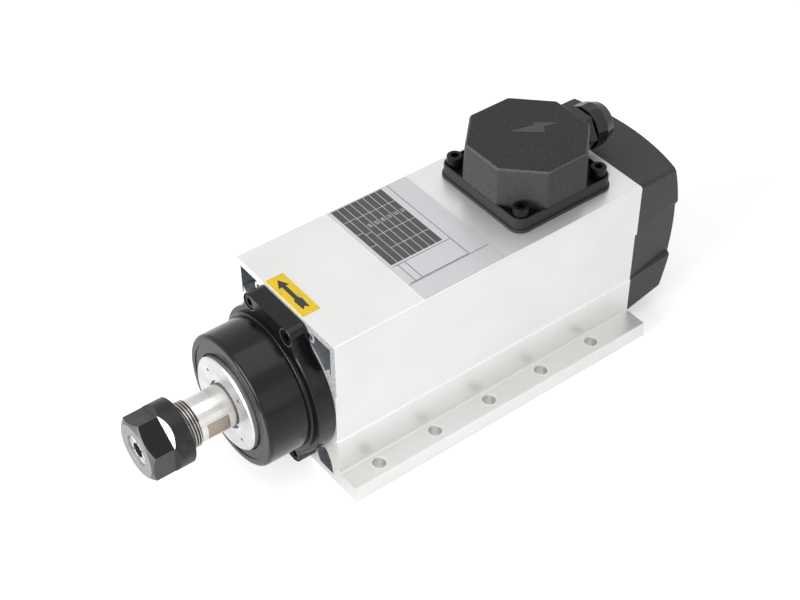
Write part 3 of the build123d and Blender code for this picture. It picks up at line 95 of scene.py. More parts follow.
SMOOTH_ANGLE = radians(30.0)

# Base holes with painted highlights on their rims
BASE_TOP = 10.0 * MM
HOLE_ROW = 48.0 * MM
HOLE_PITCH = 36.0 * MM
HOLE_RADIUS = 3.75 * MM
HOLE_RIM_INSET = 0.1 * MM
HOLE_RIM_WIDTH = 0.6 * MM
HOLE_RIM_DEPTH = 1.0 * MM

# The foot of the side bands, painted with a highlight, and the root where they rise from the base, painted
# with shade
BAND_INNER = 40.0 * MM
BAND_FOOT = (31.5 * MM, 33.1 * MM)
BAND_FOOT_SOFT = 0.25 * MM
ROOT_HEIGHTS = (10.1 * MM, 11.3 * MM)
ROOT_OUTER = 43.4 * MM
ROOT_SOFT = 0.2 * MM

# Sawn ends: plain up to the first height, from the second one on painted light, with a coarse bright
# speckle
SAWN_HEIGHTS = (24.0 * MM, 38.0 * MM)

# Air channels: aside as far as, from the axis as near as, and between these heights
CHANNEL_OUTER = 38.25 * MM
CHANNEL_INNER = 42.25 * MM
CHANNEL_HEIGHTS = (4.25 * MM, 93.35 * MM)
CHANNEL_SETBACK = 0.1 * MM

# Flange screw pockets with painted highlights round their rims
FLANGE_SCREW_ASIDE = 15.8 * MM
FLANGE_SCREW_REACH = 41.0 * MM
FLANGE_POCKET_RADIUS = 4.5 * MM
POCKET_RIM_INSET = 0.05 * MM
POCKET_RIM_WIDTH = 0.4 * MM

# Collet nut: the flat that faces up and to the right, how far its slope leans forward, and the bounds of
# its milled flats, mouth and chamfer, where light and shade are painted
NUT_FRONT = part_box("collet_nut")[0][1]
NUT_FLAT_ANGLE = radians(53.0)
NUT_SLOPE_LEAN = 1.09
NUT_MILLED_REACH = (17.36 * MM, 17.44 * MM)
NUT_MOUTH_RADIUS = 8.6 * MM
NUT_CHAMFER_REAR = NUT_FRONT + 5.0 * MM
NUT_CHAMFER_SOFT = 0.2 * MM

# Lid of the terminal box: the floor of its pockets, below which shade is painted, and the rim round its
# top, which carries a painted highlight
LID_POCKET_FLOOR = 105.3 * MM
LID_POCKET_SOFT = 0.2 * MM
LID_RIM = (LID_TOP - 1.3 * MM, LID_TOP - 0.4 * MM)

# Finishes

FORWARD = (0.0, -1.0, 0.0)
UPWARD = (0.0, 0.0, 1.0)
SOFT_EDGE = 0.05 * MM


class Finish:
    """A material under construction: a glossy shader with patterns that follow the piece."""

    def __init__(self, name, colour, metallic=0.0, roughness=0.5):
        self.material = bpy.data.materials.new(name)
        self.material.use_nodes = True
        self.tree = self.material.node_tree
        self.shader = self.tree.nodes["Principled BSDF"]
        coordinates = self.node("ShaderNodeTexCoord")
        self.place = coordinates.outputs["Object"]
        self.normal = coordinates.outputs["Normal"]
        self.set("Base Color", (*colour, 1.0))
        self.set("Metallic", metallic)
        self.set("Roughness", roughness)

    def node(self, kind, **settings):
        made = self.tree.nodes.new(kind)
        for name, value in settings.items():
            setattr(made, name, value)
        return made

    def set(self, socket, value):
        self.shader.inputs[socket].default_value = value

    def join(self, source, target):
        self.tree.links.new(source, target)

    def stretched(self, scale):
        """The piece's coordinates, stretched so that a pattern runs in streaks."""
        mapping = self.node("ShaderNodeMapping")
        mapping.inputs["Scale"].default_value = scale
        self.join(self.place, mapping.inputs["Vector"])
        return mapping.outputs["Vector"]

    def noise(self, scale, detail=3.0, roughness=0.55, place=None):
        noise = self.node("ShaderNodeTexNoise")
        noise.inputs["Scale"].default_value = scale
        noise.inputs["Detail"].default_value = detail
        noise.inputs["Roughness"].default_value = roughness
        self.join(place or self.place, noise.inputs["Vector"])
        return noise.outputs["Fac"]

    def split(self, place):
        """The three coordinates of a place."""
        split = self.node("ShaderNodeSeparateXYZ")
        self.join(place, split.inputs["Vector"])
        return split.outputs

    def turned_place(self):
        """Distance from the spindle axis, and distance along it, as coordinates for turning marks."""
        split = self.split(self.place)
        height = self.sum(split["Z"], -AXIS_HEIGHT)
        flat = self.node("ShaderNodeCombineXYZ")
        self.join(split["X"], flat.inputs["X"])
        self.join(height, flat.inputs["Z"])
        length = self.node("ShaderNodeVectorMath", operation="LENGTH")
        self.join(flat.outputs["Vector"], length.inputs[0])
        rings = self.node("ShaderNodeCombineXYZ")
        self.join(length.outputs["Value"], rings.inputs["X"])
        self.join(split["Y"], rings.inputs["Y"])
        return rings.outputs["Vector"]

    def aside(self):
        """Distance from the motor's middle plane."""
        size = self.node("ShaderNodeMath", operation="ABSOLUTE")
        self.join(self.split(self.place)["X"], size.inputs[0])
        return size.outputs["Value"]

    def along(self):
        """Distance along the spindle, from the middle of the base towards the fan."""
        return self.split(self.place)["Y"]

    def up(self):
        """Height above the underside of the base."""
        return self.split(self.place)["Z"]

    def out(self):
        """Distance from the spindle axis."""
        return self.split(self.turned_place())["X"]

    def above(self, value, limit, soft=SOFT_EDGE):
        """1 where the value is over the limit, 0 where it is under it, with a soft edge."""
        return self.between(value, limit - soft, limit + soft)

    def below(self, value, limit, soft=SOFT_EDGE):
        """1 where the value is under the limit, 0 where it is over it, with a soft edge."""
        return self.between(value, limit - soft, limit + soft, 1.0, 0.0)

    def within(self, value, low, high, soft=SOFT_EDGE):
        """1 where the value lies between low and high, 0 elsewhere, with soft edges."""
        return self.product(self.above(value, low, soft), self.below(value, high, soft))

    def ring(self, first, first_place, second, second_place, radius, width):
        """1 on a ring round a place given by two of the piece's distances, 0 elsewhere."""
        flat = self.node("ShaderNodeCombineXYZ")
        self.join(self.sum(first, -first_place), flat.inputs["X"])
        self.join(self.sum(second, -second_place), flat.inputs["Y"])
        length = self.node("ShaderNodeVectorMath", operation="LENGTH")
        self.join(flat.outputs["Vector"], length.inputs[0])
        return self.within(length.outputs["Value"], radius, radius + width)

    def repeated(self, value, pitch):
        """The distance along a row, counted afresh from each station."""
        wrap = self.node("ShaderNodeMath", operation="WRAP")
        self.join(value, wrap.inputs[0])
        wrap.inputs[1].default_value = -pitch / 2
        wrap.inputs[2].default_value = pitch / 2
        return wrap.outputs["Value"]

    def sum(self, value, amount):
        add = self.node("ShaderNodeMath", operation="ADD")
        self.join(value, add.inputs[0])
        add.inputs[1].default_value = amount
        return add.outputs["Value"]

    def product(self, first, *others):
        """Shares of a surface multiplied with each other."""
        for other in others:
            times = self.node("ShaderNodeMath", operation="MULTIPLY")
            self.join(first, times.inputs[0])
            self.join(other, times.inputs[1])
            first = times.outputs["Value"]
        return first

    def between(self, value, low, high, start=0.0, end=1.0):
        """Value from low to high becomes start to end, clamped."""
        spread = self.node("ShaderNodeMapRange")
        self.join(value, spread.inputs["Value"])
        for socket, number in zip(("From Min", "From Max", "To Min", "To Max"), (low, high, start, end)):
            spread.inputs[socket].default_value = number
        return spread.outputs["Result"]

    def blend(self, share, first, second):
        """A colour between two, each a plain colour or another socket."""
        mix = self.node("ShaderNodeMix", data_type="RGBA")
        self.join(share, mix.inputs["Factor"])
        for socket, colour in (("A", first), ("B", second)):
            target = [one for one in mix.inputs if one.name == socket and one.type == "RGBA"][0]
            if isinstance(colour, tuple):
                target.default_value = (*colour, 1.0)
            else:
                self.join(colour, target)
        return [one for one in mix.outputs if one.type == "RGBA"][0]

    def colour(self, socket):
        self.join(socket, self.shader.inputs["Base Color"])

    def rough(self, socket):
        self.join(socket, self.shader.inputs["Roughness"])

    def bump(self, height, strength, depth):
        bump = self.node("ShaderNodeBump")
        bump.inputs["Strength"].default_value = strength
        bump.inputs["Distance"].default_value = depth
        self.join(height, bump.inputs["Height"])
        self.join(bump.outputs["Normal"], self.shader.inputs["Normal"])

    def facing(self, direction, low, high):
        """How far the surface faces a direction, from 0 at low to 1 at high."""
        dot = self.node("ShaderNodeVectorMath", operation="DOT_PRODUCT")
        self.join(self.normal, dot.inputs[0])
        dot.inputs[1].default_value = direction
        return self.between(dot.outputs["Value"], low, high)


def scaled(colour, share):
    """A colour made lighter or darker."""
    return tuple(share * part for part in colour)


def sawn_end(finish, clouds):
    """The extrusion's end faces: plain at the base, above it painted light towards white, with a coarse
    speckle that is partly sawn grain and partly painted light.
    """
    sparkle = finish.between(finish.noise(1400.0), 0.38, 0.56)
    # Painted light: the upper end face is painted near white, with a coarse bright speckle.
    lightened_upper_end = finish.blend(sparkle, (0.50, 0.51, 0.52), (0.95, 0.95, 0.95))
    base_end = finish.blend(clouds, (0.56, 0.545, 0.535), (0.66, 0.645, 0.635))
    return finish.blend(finish.between(finish.up(), *SAWN_HEIGHTS), base_end, lightened_upper_end)


def air_channels(finish):
    """1 inside the four air channels, 0 on the rest of the extrusion."""
    return finish.product(
        finish.below(finish.aside(), CHANNEL_OUTER),
        finish.above(finish.out(), CHANNEL_INNER),
        finish.within(finish.up(), *CHANNEL_HEIGHTS),
        finish.within(finish.along(), BODY_FRONT + CHANNEL_SETBACK, BODY_REAR - CHANNEL_SETBACK),
    )


def painted_edge_light(finish, walls):
    """The walls with painted highlights on the base holes' rims and on the foot of the side bands, and
    painted shade along the root.
    """
    aside = finish.aside()
    up = finish.up()
    station = finish.repeated(finish.along(), HOLE_PITCH)
    ring = finish.ring(aside, HOLE_ROW, station, 0.0, HOLE_RADIUS - HOLE_RIM_INSET, HOLE_RIM_WIDTH)
    rims = finish.product(ring, finish.within(up, BASE_TOP - HOLE_RIM_DEPTH, BASE_TOP + HOLE_RIM_DEPTH))
    foot = finish.product(
        finish.within(up, *BAND_FOOT, soft=BAND_FOOT_SOFT),
        finish.above(aside, BAND_INNER),
    )
    root = finish.product(
        finish.within(up, *ROOT_HEIGHTS, soft=ROOT_SOFT),
        finish.within(aside, BAND_INNER, ROOT_OUTER, soft=ROOT_SOFT),
    )
    # Painted light: white rings on the hole rims and a pale strip on the band foot; painted shade: a darker
    # strip on the root.
    painted_lighter = finish.blend(rims, walls, (1.0, 1.0, 1.0))
    foot_highlight = finish.blend(foot, painted_lighter, (0.93, 0.93, 0.92))
    return finish.blend(root, foot_highlight, (0.70, 0.70, 0.685))


def anodised_aluminium(name):
    """Clear anodised extrusion: satin walls with a faint grain, sawn ends, and air channels with painted
    shade in a rough grain.
    """
    finish = Finish(name, (0.86, 0.86, 0.855), metallic=0.6, roughness=0.4)
    grain = finish.noise(2600.0, detail=2.0)
    clouds = finish.noise(22.0, detail=4.0)
    die_lines = finish.noise(900.0, place=finish.stretched((1.0, 0.01, 1.0)))
    cloudy = finish.between(clouds, 0.35, 0.7)
    walls = finish.blend(cloudy, (0.805, 0.805, 0.79), (0.85, 0.85, 0.84))
    outside = finish.blend(finish.facing(FORWARD, 0.8, 0.95), walls, sawn_end(finish, clouds))
    # Painted shade: the walls inside the air channels are painted dark grey.
    inside = finish.blend(finish.noise(420.0, detail=5.0), (0.20, 0.22, 0.25), (0.62, 0.65, 0.69))
    finish.colour(finish.blend(air_channels(finish), painted_edge_light(finish, outside), inside))
    finish.rough(finish.between(grain, 0.3, 0.7, 0.31, 0.46))
    finish.bump(finish.product(grain, die_lines), 0.10, 0.02 * MM)
    return finish.material


def gloss_black_enamel(name):
    """Gloss black coating with a faint orange peel, a few lighter specks and painted highlights round the
    screw pockets' rims.
    """
    finish = Finish(name, (0.012, 0.012, 0.013), roughness=0.24)
    peel = finish.noise(700.0, detail=2.0)
    specks = finish.between(finish.noise(1900.0, detail=1.0), 0.74, 0.80)
    coat = finish.blend(specks, (0.006, 0.006, 0.007), (0.05, 0.05, 0.05))
    aside = finish.aside()
    up = finish.up()
    front = finish.facing(FORWARD, 0.9, 0.98)
    # Painted highlight: a grey ring round each screw pocket on the front face.
    radius = FLANGE_POCKET_RADIUS - POCKET_RIM_INSET
    for height in (AXIS_HEIGHT - FLANGE_SCREW_REACH, AXIS_HEIGHT + FLANGE_SCREW_REACH):
        rim = finish.ring(aside, FLANGE_SCREW_ASIDE, up, height, radius, POCKET_RIM_WIDTH)
        coat = finish.blend(finish.product(rim, front), coat, (0.16, 0.16, 0.165))
    finish.colour(coat)
    finish.rough(finish.between(finish.noise(60.0), 0.3, 0.7, 0.14, 0.26))
    finish.bump(peel, 0.10, 0.02 * MM)
    finish.set("Specular IOR Level", 0.28)
    return finish.material


def turning_marks(finish, roughness):
    """The fine rings that a lathe leaves."""
    rings = finish.noise(4000.0, detail=2.0, place=finish.turned_place())
    finish.rough(finish.between(rings, 0.3, 0.7, roughness - 0.06, roughness + 0.1))
    finish.bump(rings, 0.25, 0.01 * MM)


def turned_metal(name, dark, light, roughness):
    """Bright turned metal with a few smudges."""
    finish = Finish(name, light, metallic=1.0, roughness=roughness)
    smudges = finish.noise(140.0, detail=3.0)
    finish.colour(finish.blend(finish.between(smudges, 0.3, 0.75), light, dark))
    turning_marks(finish, roughness)
    return finish.material


def shaft_steel(name):
    """Ground steel: darker in the thread's grooves, and wrench flats left brownish and unground."""
    light = (0.74, 0.73, 0.71)
    roughness = 0.26
    finish = Finish(name, light, metallic=1.0, roughness=roughness)
    smudges = finish.between(finish.noise(90.0), 0.3, 0.75)
    ground = finish.blend(smudges, light, (0.62, 0.61, 0.585))
    out = finish.out()
    along = finish.along()
    flats = finish.product(
        finish.within(out, FLAT_NEAR, FLAT_FAR, soft=FLAT_SOFT),
        finish.within(along, FLAT_FRONT, FLAT_REAR),
    )
    unground = finish.blend(finish.noise(800.0, detail=5.0), (0.26, 0.21, 0.17), (0.44, 0.38, 0.32))
    grooves = finish.product(
        finish.between(out, GROOVE_DARK, GROOVE_BRIGHT, 1.0, 0.0),
        finish.below(along, THREAD_REAR),
    )
    finish.colour(finish.blend(grooves, finish.blend(flats, ground, unground), (0.17, 0.16, 0.15)))
    turning_marks(finish, roughness)
    return finish.material


def cast_metal(name, dark, light):
    """Rough castings, sand blasted before the seats are turned."""
    finish = Finish(name, light, metallic=0.9, roughness=0.5)
    grit = finish.noise(1400.0, detail=4.0)
    finish.colour(finish.blend(grit, dark, light))
    finish.bump(grit, 0.3, 0.05 * MM)
    return finish.material


def oxide_coat(finish, shade=1.0):
    """Oiled black oxide with a fine grain and patches paler from rubbing."""
    grain = finish.noise(1600.0, detail=3.0)
    finish.rough(finish.between(grain, 0.3, 0.7, 0.34, 0.52))
    finish.bump(grain, 0.15, 0.02 * MM)
    rubbed_and_painted_light = finish.between(finish.noise(90.0, detail=5.0), 0.48, 0.8)
    return finish.blend(rubbed_and_painted_light, scaled((0.020, 0.020, 0.020), shade), scaled((0.056, 0.056, 0.057), shade))


def black_screw_steel(name):
    """Screws in oiled black oxide, made much darker than the nut's."""
    finish = Finish(name, (0.03, 0.03, 0.03), metallic=0.55, roughness=0.42)
    finish.colour(oxide_coat(finish, shade=0.22))
    return finish.material


def black_nut_steel(name):
    """Black oxide with milled flats painted darker and lighter as shade and light, a chamfer painted
    lighter partly for wear and partly as a painted reflection, a turned face, painted light in the mouth
    and a painted highlight on the run-out.
    """
    finish = Finish(name, (0.03, 0.03, 0.03), metallic=0.55, roughness=0.42)
    colour = oxide_coat(finish)
    out = finish.out()
    along = finish.along()
    upper = (cos(NUT_FLAT_ANGLE), 0.0, sin(NUT_FLAT_ANGLE))
    lower = (cos(NUT_FLAT_ANGLE - pi / 3), 0.0, sin(NUT_FLAT_ANGLE - pi / 3))
    milled = finish.between(out, *NUT_MILLED_REACH, 1.0, 0.0)
    # Painted shade and light: the flat facing up and to the right is painted darker, the flat below it
    # lighter.
    for direction, tone in ((upper, (0.007, 0.007, 0.007)), (lower, (0.062, 0.062, 0.063))):
        flat = finish.product(finish.facing(direction, 0.992, 0.998), milled)
        colour = finish.blend(flat, colour, tone)

    turning = finish.noise(3200.0, detail=2.0, place=finish.turned_place())
    painted_lighter = finish.blend(turning, (0.07, 0.07, 0.07), (0.15, 0.15, 0.15))
    bare = finish.blend(turning, (0.18, 0.18, 0.182), (0.30, 0.30, 0.305))
    # The chamfer is painted lighter, partly for wear and partly as a painted reflection of the floor.
    colour = finish.blend(finish.facing(FORWARD, 0.79, 0.81), colour, painted_lighter)
    colour = finish.blend(finish.facing(FORWARD, 0.95, 0.97), colour, bare)
    # Painted light: the mouth is painted light grey, over the shade in the gap round the collet.
    mouth = finish.product(
        finish.below(out, NUT_MOUTH_RADIUS),
        finish.below(along, NUT_CHAMFER_REAR),
    )
    colour = finish.blend(mouth, colour, (0.62, 0.62, 0.62))

    # Painted highlight: a pale crescent on the run-out of the flat that faces up and to the right, standing
    # for a lamp's reflection.
    slope = Vector((upper[0], -NUT_SLOPE_LEAN, upper[2])).normalized()
    run_out_highlight = finish.product(
        finish.between(along, NUT_CHAMFER_REAR, NUT_CHAMFER_REAR + NUT_CHAMFER_SOFT),
        finish.facing(tuple(slope), 0.97, 0.98),
    )
    finish.colour(finish.blend(run_out_highlight, colour, (0.52, 0.515, 0.52)))
    return finish.material


def polished_steel(name, colour, roughness):
    """Ground and polished steel, a little uneven in its shine."""
    finish = Finish(name, colour, metallic=1.0, roughness=roughness)
    finish.rough(finish.between(finish.noise(300.0), 0.3, 0.7, roughness, roughness + 0.08))
    return finish.material


def mottle(finish):
    """The fine unevenness of a grained mould."""
    return finish.between(finish.noise(1700.0, detail=2.0), 0.36, 0.64, 0.25, 1.0)


def mould_tones(finish, dark, light):
    """Slow changes of tone under the mottle."""
    slow = finish.between(finish.noise(35.0, detail=4.0), 0.3, 0.75, 0.45, 1.0)
    return finish.blend(finish.product(slow, mottle(finish)), dark, light)


def with_specks(finish, colour, specks):
    """The colour with pale specks on it."""
    pale_speck_share = finish.between(finish.noise(2200.0, detail=1.0), 0.67, 0.76, 0.0, specks)
    return finish.blend(pale_speck_share, colour, (0.40, 0.40, 0.41))


def mould_grain(finish, roughness, scale, depth, specular):
    """Small pits that catch the light; their depth is in millimetres."""
    grain = finish.noise(scale, detail=2.0, roughness=0.6)
    finish.rough(finish.between(grain, 0.3, 0.7, roughness - 0.08, roughness + 0.1))
    finish.bump(grain, 0.35, depth * MM)
    finish.set("Specular IOR Level", specular)


def moulded_plastic(name, dark, light, roughness, scale, depth, specular=0.5, specks=0.0):
    """Grained mould finish with slow changes of tone and pale specks."""
    finish = Finish(name, dark, roughness=roughness)
    finish.colour(with_specks(finish, mould_tones(finish, dark, light), specks))
    mould_grain(finish, roughness, scale, depth, specular)
    return finish.material


def box_plastic(name, dark, light, roughness, scale, depth, specular, specks):
    """Moulded plastic of the terminal box: walls painted lighter than the top as painted light, a painted
    highlight along the rim round the top, and painted shade below the pockets' floor, darkest on the pocket
    floors.
    """
    finish = Finish(name, dark, roughness=roughness)
    up = finish.up()
    flat = finish.facing(UPWARD, 0.9, 0.98)
    fine = mottle(finish)
    # Painted light: the walls are painted lighter than the top, and a painted highlight runs along the rim
    # round the top.
    rubbed_and_painted_light = finish.blend(fine, scaled(light, 0.9), scaled(light, 1.9))
    rim_highlight = finish.product(finish.between(up, *LID_RIM, 0.0, 0.8), fine)
    walls = with_specks(finish, finish.blend(rim_highlight, rubbed_and_painted_light, (0.16, 0.16, 0.165)), specks)
    top = with_specks(finish, mould_tones(finish, dark, light), specks)
    # Painted shade: below the pockets' floor the sides are painted darker, and the pocket floors darkest.
    deep = finish.between(up, LID_POCKET_FLOOR - LID_POCKET_SOFT, LID_POCKET_FLOOR, 1.0, 0.0)
    foot = finish.blend(deep, finish.blend(flat, walls, top), scaled(dark, 1.4))
    finish.colour(finish.blend(finish.product(deep, flat), foot, scaled(dark, 0.25)))
    mould_grain(finish, roughness, scale, depth, specular)
    return finish.material


def rubber(name):
    """Soft black rubber without a shine."""
    finish = Finish(name, (0.018, 0.018, 0.018), roughness=0.62)
    finish.bump(finish.noise(900.0), 0.2, 0.03 * MM)
    return finish.material


def laminations(name):
    """Thin steel sheets stacked along the motor."""
    finish = Finish(name, (0.25, 0.25, 0.27), metallic=0.9, roughness=0.4)
    wave = finish.node("ShaderNodeTexWave", bands_direction="Y")
    wave.inputs["Scale"].default_value = 320.0
    finish.join(finish.place, wave.inputs["Vector"])
    finish.colour(finish.blend(wave.outputs["Fac"], (0.10, 0.10, 0.11), (0.36, 0.36, 0.38)))
    finish.bump(wave.outputs["Fac"], 0.4, 0.05 * MM)
    return finish.material


def copper_wire(name):
    """Varnished wires that run round the end turns."""
    finish = Finish(name, (0.56, 0.20, 0.08), metallic=0.8, roughness=0.3)
    wires = finish.noise(1100.0, detail=2.0, place=finish.turned_place())
    finish.colour(finish.blend(wires, (0.25, 0.07, 0.03), (0.75, 0.30, 0.13)))
    finish.bump(wires, 0.6, 0.2 * MM)
    finish.set("Coat Weight", 0.5)
    return finish.material


def label_foil(name):
    """Silver printed foil with a fine brushed grain."""
    finish = Finish(name, (0.68, 0.69, 0.70), metallic=0.35, roughness=0.4)
    brushed = finish.noise(1500.0, place=finish.stretched((0.03, 1.0, 1.0)))
    finish.colour(finish.blend(brushed, (0.62, 0.63, 0.65), (0.74, 0.75, 0.77)))
    finish.rough(finish.between(brushed, 0.3, 0.7, 0.34, 0.46))
    return finish.material


def printed_film(name, colour, roughness=0.4):
    """Ink or coloured film, with a slight unevenness in the coat."""
    finish = Finish(name, colour, roughness=roughness)
    uneven = finish.between(finish.noise(160.0, detail=2.0), 0.35, 0.7)
    finish.colour(finish.blend(uneven, colour, scaled(colour, 0.86)))
    return finish.material


# The finish of each of the record's slots: how it is made, and its settings
FINISHES = {
    "anodised_aluminium": (anodised_aluminium, {}),
    "black_enamel": (gloss_black_enamel, {}),
    "turned_aluminium": (
        turned_metal,
        dict(dark=(0.54, 0.54, 0.55), light=(0.70, 0.70, 0.71), roughness=0.32),
    ),
    "cast_aluminium": (cast_metal, dict(dark=(0.45, 0.46, 0.47), light=(0.68, 0.69, 0.70))),
    "black_screw_steel": (black_screw_steel, {}),
    "black_oxide_steel": (black_nut_steel, {}),
    "shaft_steel": (shaft_steel, {}),
    "collet_steel": (
        turned_metal,
        dict(dark=(0.50, 0.50, 0.50), light=(0.76, 0.76, 0.76), roughness=0.2),
    ),
    "bearing_steel": (polished_steel, dict(colour=(0.80, 0.81, 0.82), roughness=0.08)),
    "spring_steel": (polished_steel, dict(colour=(0.46, 0.46, 0.47), roughness=0.3)),
    "plain_steel": (
        turned_metal,
        dict(dark=(0.48, 0.48, 0.49), light=(0.66, 0.66, 0.67), roughness=0.32),
    ),
    "bearing_cage_resin": (
        moulded_plastic,
        dict(dark=(0.30, 0.17, 0.07), light=(0.46, 0.28, 0.13), roughness=0.5, scale=800.0, depth=0.05),
    ),
    "core_laminations": (laminations, {}),
    "winding_copper": (copper_wire, {}),
    "cage_aluminium": (cast_metal, dict(dark=(0.55, 0.56, 0.57), light=(0.76, 0.77, 0.78))),
    "fan_plastic": (
        moulded_plastic,
        dict(dark=(0.015, 0.015, 0.015), light=(0.03, 0.03, 0.03), roughness=0.45, scale=900.0, depth=0.03),
    ),
    "cover_plastic": (
        moulded_plastic,
        dict(
            dark=(0.034, 0.034, 0.035), light=(0.052, 0.052, 0.053),
            roughness=0.46, scale=1500.0, depth=0.05, specular=0.3, specks=0.4,
        ),
    ),
    "box_plastic": (
        box_plastic,
        dict(
            dark=(0.026, 0.025, 0.026), light=(0.040, 0.038, 0.040),
            roughness=0.42, scale=1000.0, depth=0.12, specular=0.16, specks=0.34,
        ),
    ),
    "gasket_rubber": (rubber, {}),
    "terminal_moulding": (
        moulded_plastic,
        dict(dark=(0.06, 0.03, 0.018), light=(0.10, 0.055, 0.03), roughness=0.4, scale=600.0, depth=0.03),
    ),
    "terminal_brass": (
        turned_metal,
        dict(dark=(0.55, 0.36, 0.12), light=(0.82, 0.60, 0.25), roughness=0.25),
    ),
    "zinc_screw": (
        turned_metal,
        dict(dark=(0.55, 0.55, 0.50), light=(0.80, 0.80, 0.76), roughness=0.28),
    ),
    "lead_sleeving": (printed_film, dict(colour=(0.45, 0.03, 0.02))),
    "gland_nylon": (
        moulded_plastic,
        dict(
            dark=(0.008, 0.009, 0.010), light=(0.015, 0.016, 0.018),
            roughness=0.2, scale=500.0, depth=0.02, specular=0.42,
        ),
    ),
    "label_foil": (label_foil, {}),
    "label_film": (printed_film, dict(colour=(1.0, 0.70, 0.012))),
}


def dress_nodes(finishes):
    """Every node takes the finish of its slot in the record."""
    for subpart in frame["record"]["subparts"]:
        for slot in NODES[subpart["node"]].material_slots:
            slot.material = finishes[subpart["material_slot"]]


# Pieces


def piece_from(shape, name, material, body):
    """Turn a finished bmesh into a piece that rides on a body."""
    mesh = bpy.data.meshes.new(name)
    shape.to_mesh(mesh)
    shape.free()
    mesh.materials.append(material)
    piece = bpy.data.objects.new(name, mesh)
    bpy.context.scene.collection.objects.link(piece)
    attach(piece, body)
    return piece


def shaft_with_thread(steel):
    """The shaft with its nose turned down to the thread's root and a helical ridge wound round it."""
    shape = bmesh.new()
    shape.from_mesh(NODES["spindle_shaft"].data)
    bmesh.ops.remove_doubles(shape, verts=shape.verts, dist=WELD_DISTANCE)
    front = min(vertex.co.y for vertex in shape.verts)
    nose = [vertex for vertex in shape.verts if vertex.co.y < front + NOSE_LENGTH]
    for vertex in nose:
        radius = Vector((vertex.co.x, vertex.co.z - AXIS_HEIGHT)).length
        if radius > THREAD_ROOT + NOSE_MARGIN:
            shrink = THREAD_ROOT / radius
            vertex.co.x *= shrink
            vertex.co.z = AXIS_HEIGHT + (vertex.co.z - AXIS_HEIGHT) * shrink
    add_thread(shape, front + THREAD_START)
    for face in shape.faces:
        face.smooth = False
    piece = piece_from(shape, "spindle_shaft_threaded", steel, "rotor")
    smooth_by_angle(piece, SMOOTH_ANGLE)
    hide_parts("spindle_shaft")


def add_thread(shape, start):
    """Wind a thread's section round the axis, one pitch for each turn."""
    section = (
        (-RIDGE_HALF_ROOT, THREAD_ROOT - RIDGE_SUNK),
        (-RIDGE_HALF_CREST, THREAD_CREST),
        (RIDGE_HALF_CREST, THREAD_CREST),
        (RIDGE_HALF_ROOT, THREAD_ROOT - RIDGE_SUNK),
    )
    middle = start + RIDGE_HALF_ROOT
    corners = [shape.verts.new((0.0, middle + along, AXIS_HEIGHT + out)) for along, out in section]
    outline = [shape.edges.new(pair) for pair in zip(corners, corners[1:] + corners[:1])]
    turns = THREAD_LENGTH / THREAD_PITCH
    steps = int(turns * THREAD_STEPS_PER_TURN)
    wound = bmesh.ops.spin(
        shape,
        geom=corners + outline,
        cent=(0.0, 0.0, AXIS_HEIGHT),
        axis=(0.0, 1.0, 0.0),
        dvec=(0.0, THREAD_LENGTH / steps, 0.0),
        angle=2.0 * pi * turns,
        steps=steps,
    )
    shape.faces.new(corners)
    shape.faces.new([item for item in wound["geom_last"] if isinstance(item, bmesh.types.BMVert)])
    bmesh.ops.recalc_face_normals(shape, faces=shape.faces)


def smooth_by_angle(piece, angle):
    """Smooth shading that keeps edges sharper than the angle."""
    shape = bmesh.new()
    shape.from_mesh(piece.data)
    for face in shape.faces:
        face.smooth = True
    for edge in shape.edges:
        edge.smooth = len(edge.link_faces) == 2 and edge.calc_face_angle() < angle
    shape.to_mesh(piece.data)
    shape.free()


def raised_outline(points, bottom, thickness):
    """A flat plate with the given outline, its underside at bottom."""
    shape = bmesh.new()
    corners = [shape.verts.new((x, y, bottom)) for x, y in points]
    face = shape.faces.new(corners)
    grown = bmesh.ops.extrude_face_region(shape, geom=[face])
    top = [item for item in grown["geom"] if isinstance(item, bmesh.types.BMVert)]
    bmesh.ops.translate(shape, verts=top, vec=(0.0, 0.0, thickness))
    bmesh.ops.recalc_face_normals(shape, faces=shape.faces)
    return shape


def add_bar(shape, low, high, bottom, thickness):
    """Add one upright block between two opposite corners."""
    made = bmesh.ops.create_cube(shape, size=1.0)
    size = (high[0] - low[0], high[1] - low[1], thickness)
    middle = ((low[0] + high[0]) / 2, (low[1] + high[1]) / 2, bottom + thickness / 2)
    bmesh.ops.scale(shape, verts=made["verts"], vec=size)
    bmesh.ops.translate(shape, verts=made["verts"], vec=middle)


# Print on the plate: thickness of the ink and width of its lines
INK = 0.03 * MM
LINE = 0.35 * MM
PLATE_LOW, PLATE_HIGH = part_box("nameplate")

# The printed table, from the plate's front left corner, and the rules beside it
TABLE_LEFT = PLATE_LOW[0] + 0.6 * MM
TABLE_RIGHT = TABLE_LEFT + 51.6 * MM
TABLE_FRONT = PLATE_LOW[1] + 2.2 * MM
ROW_HEIGHT = 4.05 * MM
ROWS = 8
TALL_COLUMNS = (0.0, 12.0, 29.0, 40.6, 51.6)
LOW_ROWS = ((0.0, 11.5, 23.0, 34.5, 51.6), (0.0, 11.5, 25.0, 51.6))
FIELD_LEFT = TABLE_RIGHT + 1.2 * MM
FIELD_RIGHT = TABLE_LEFT + 67.4 * MM
STRIP_LINE = FIELD_RIGHT + 0.7 * MM
HEADER_HEIGHT = 3.6 * MM
FIELD_RULES = (7.0 * MM, 2.8 * MM)
STRIP_FRONT = PLATE_LOW[1] + 0.6 * MM
STRIP_REAR = PLATE_HIGH[1] - 0.8 * MM
NUMBER_SIZE = 3.1 * MM


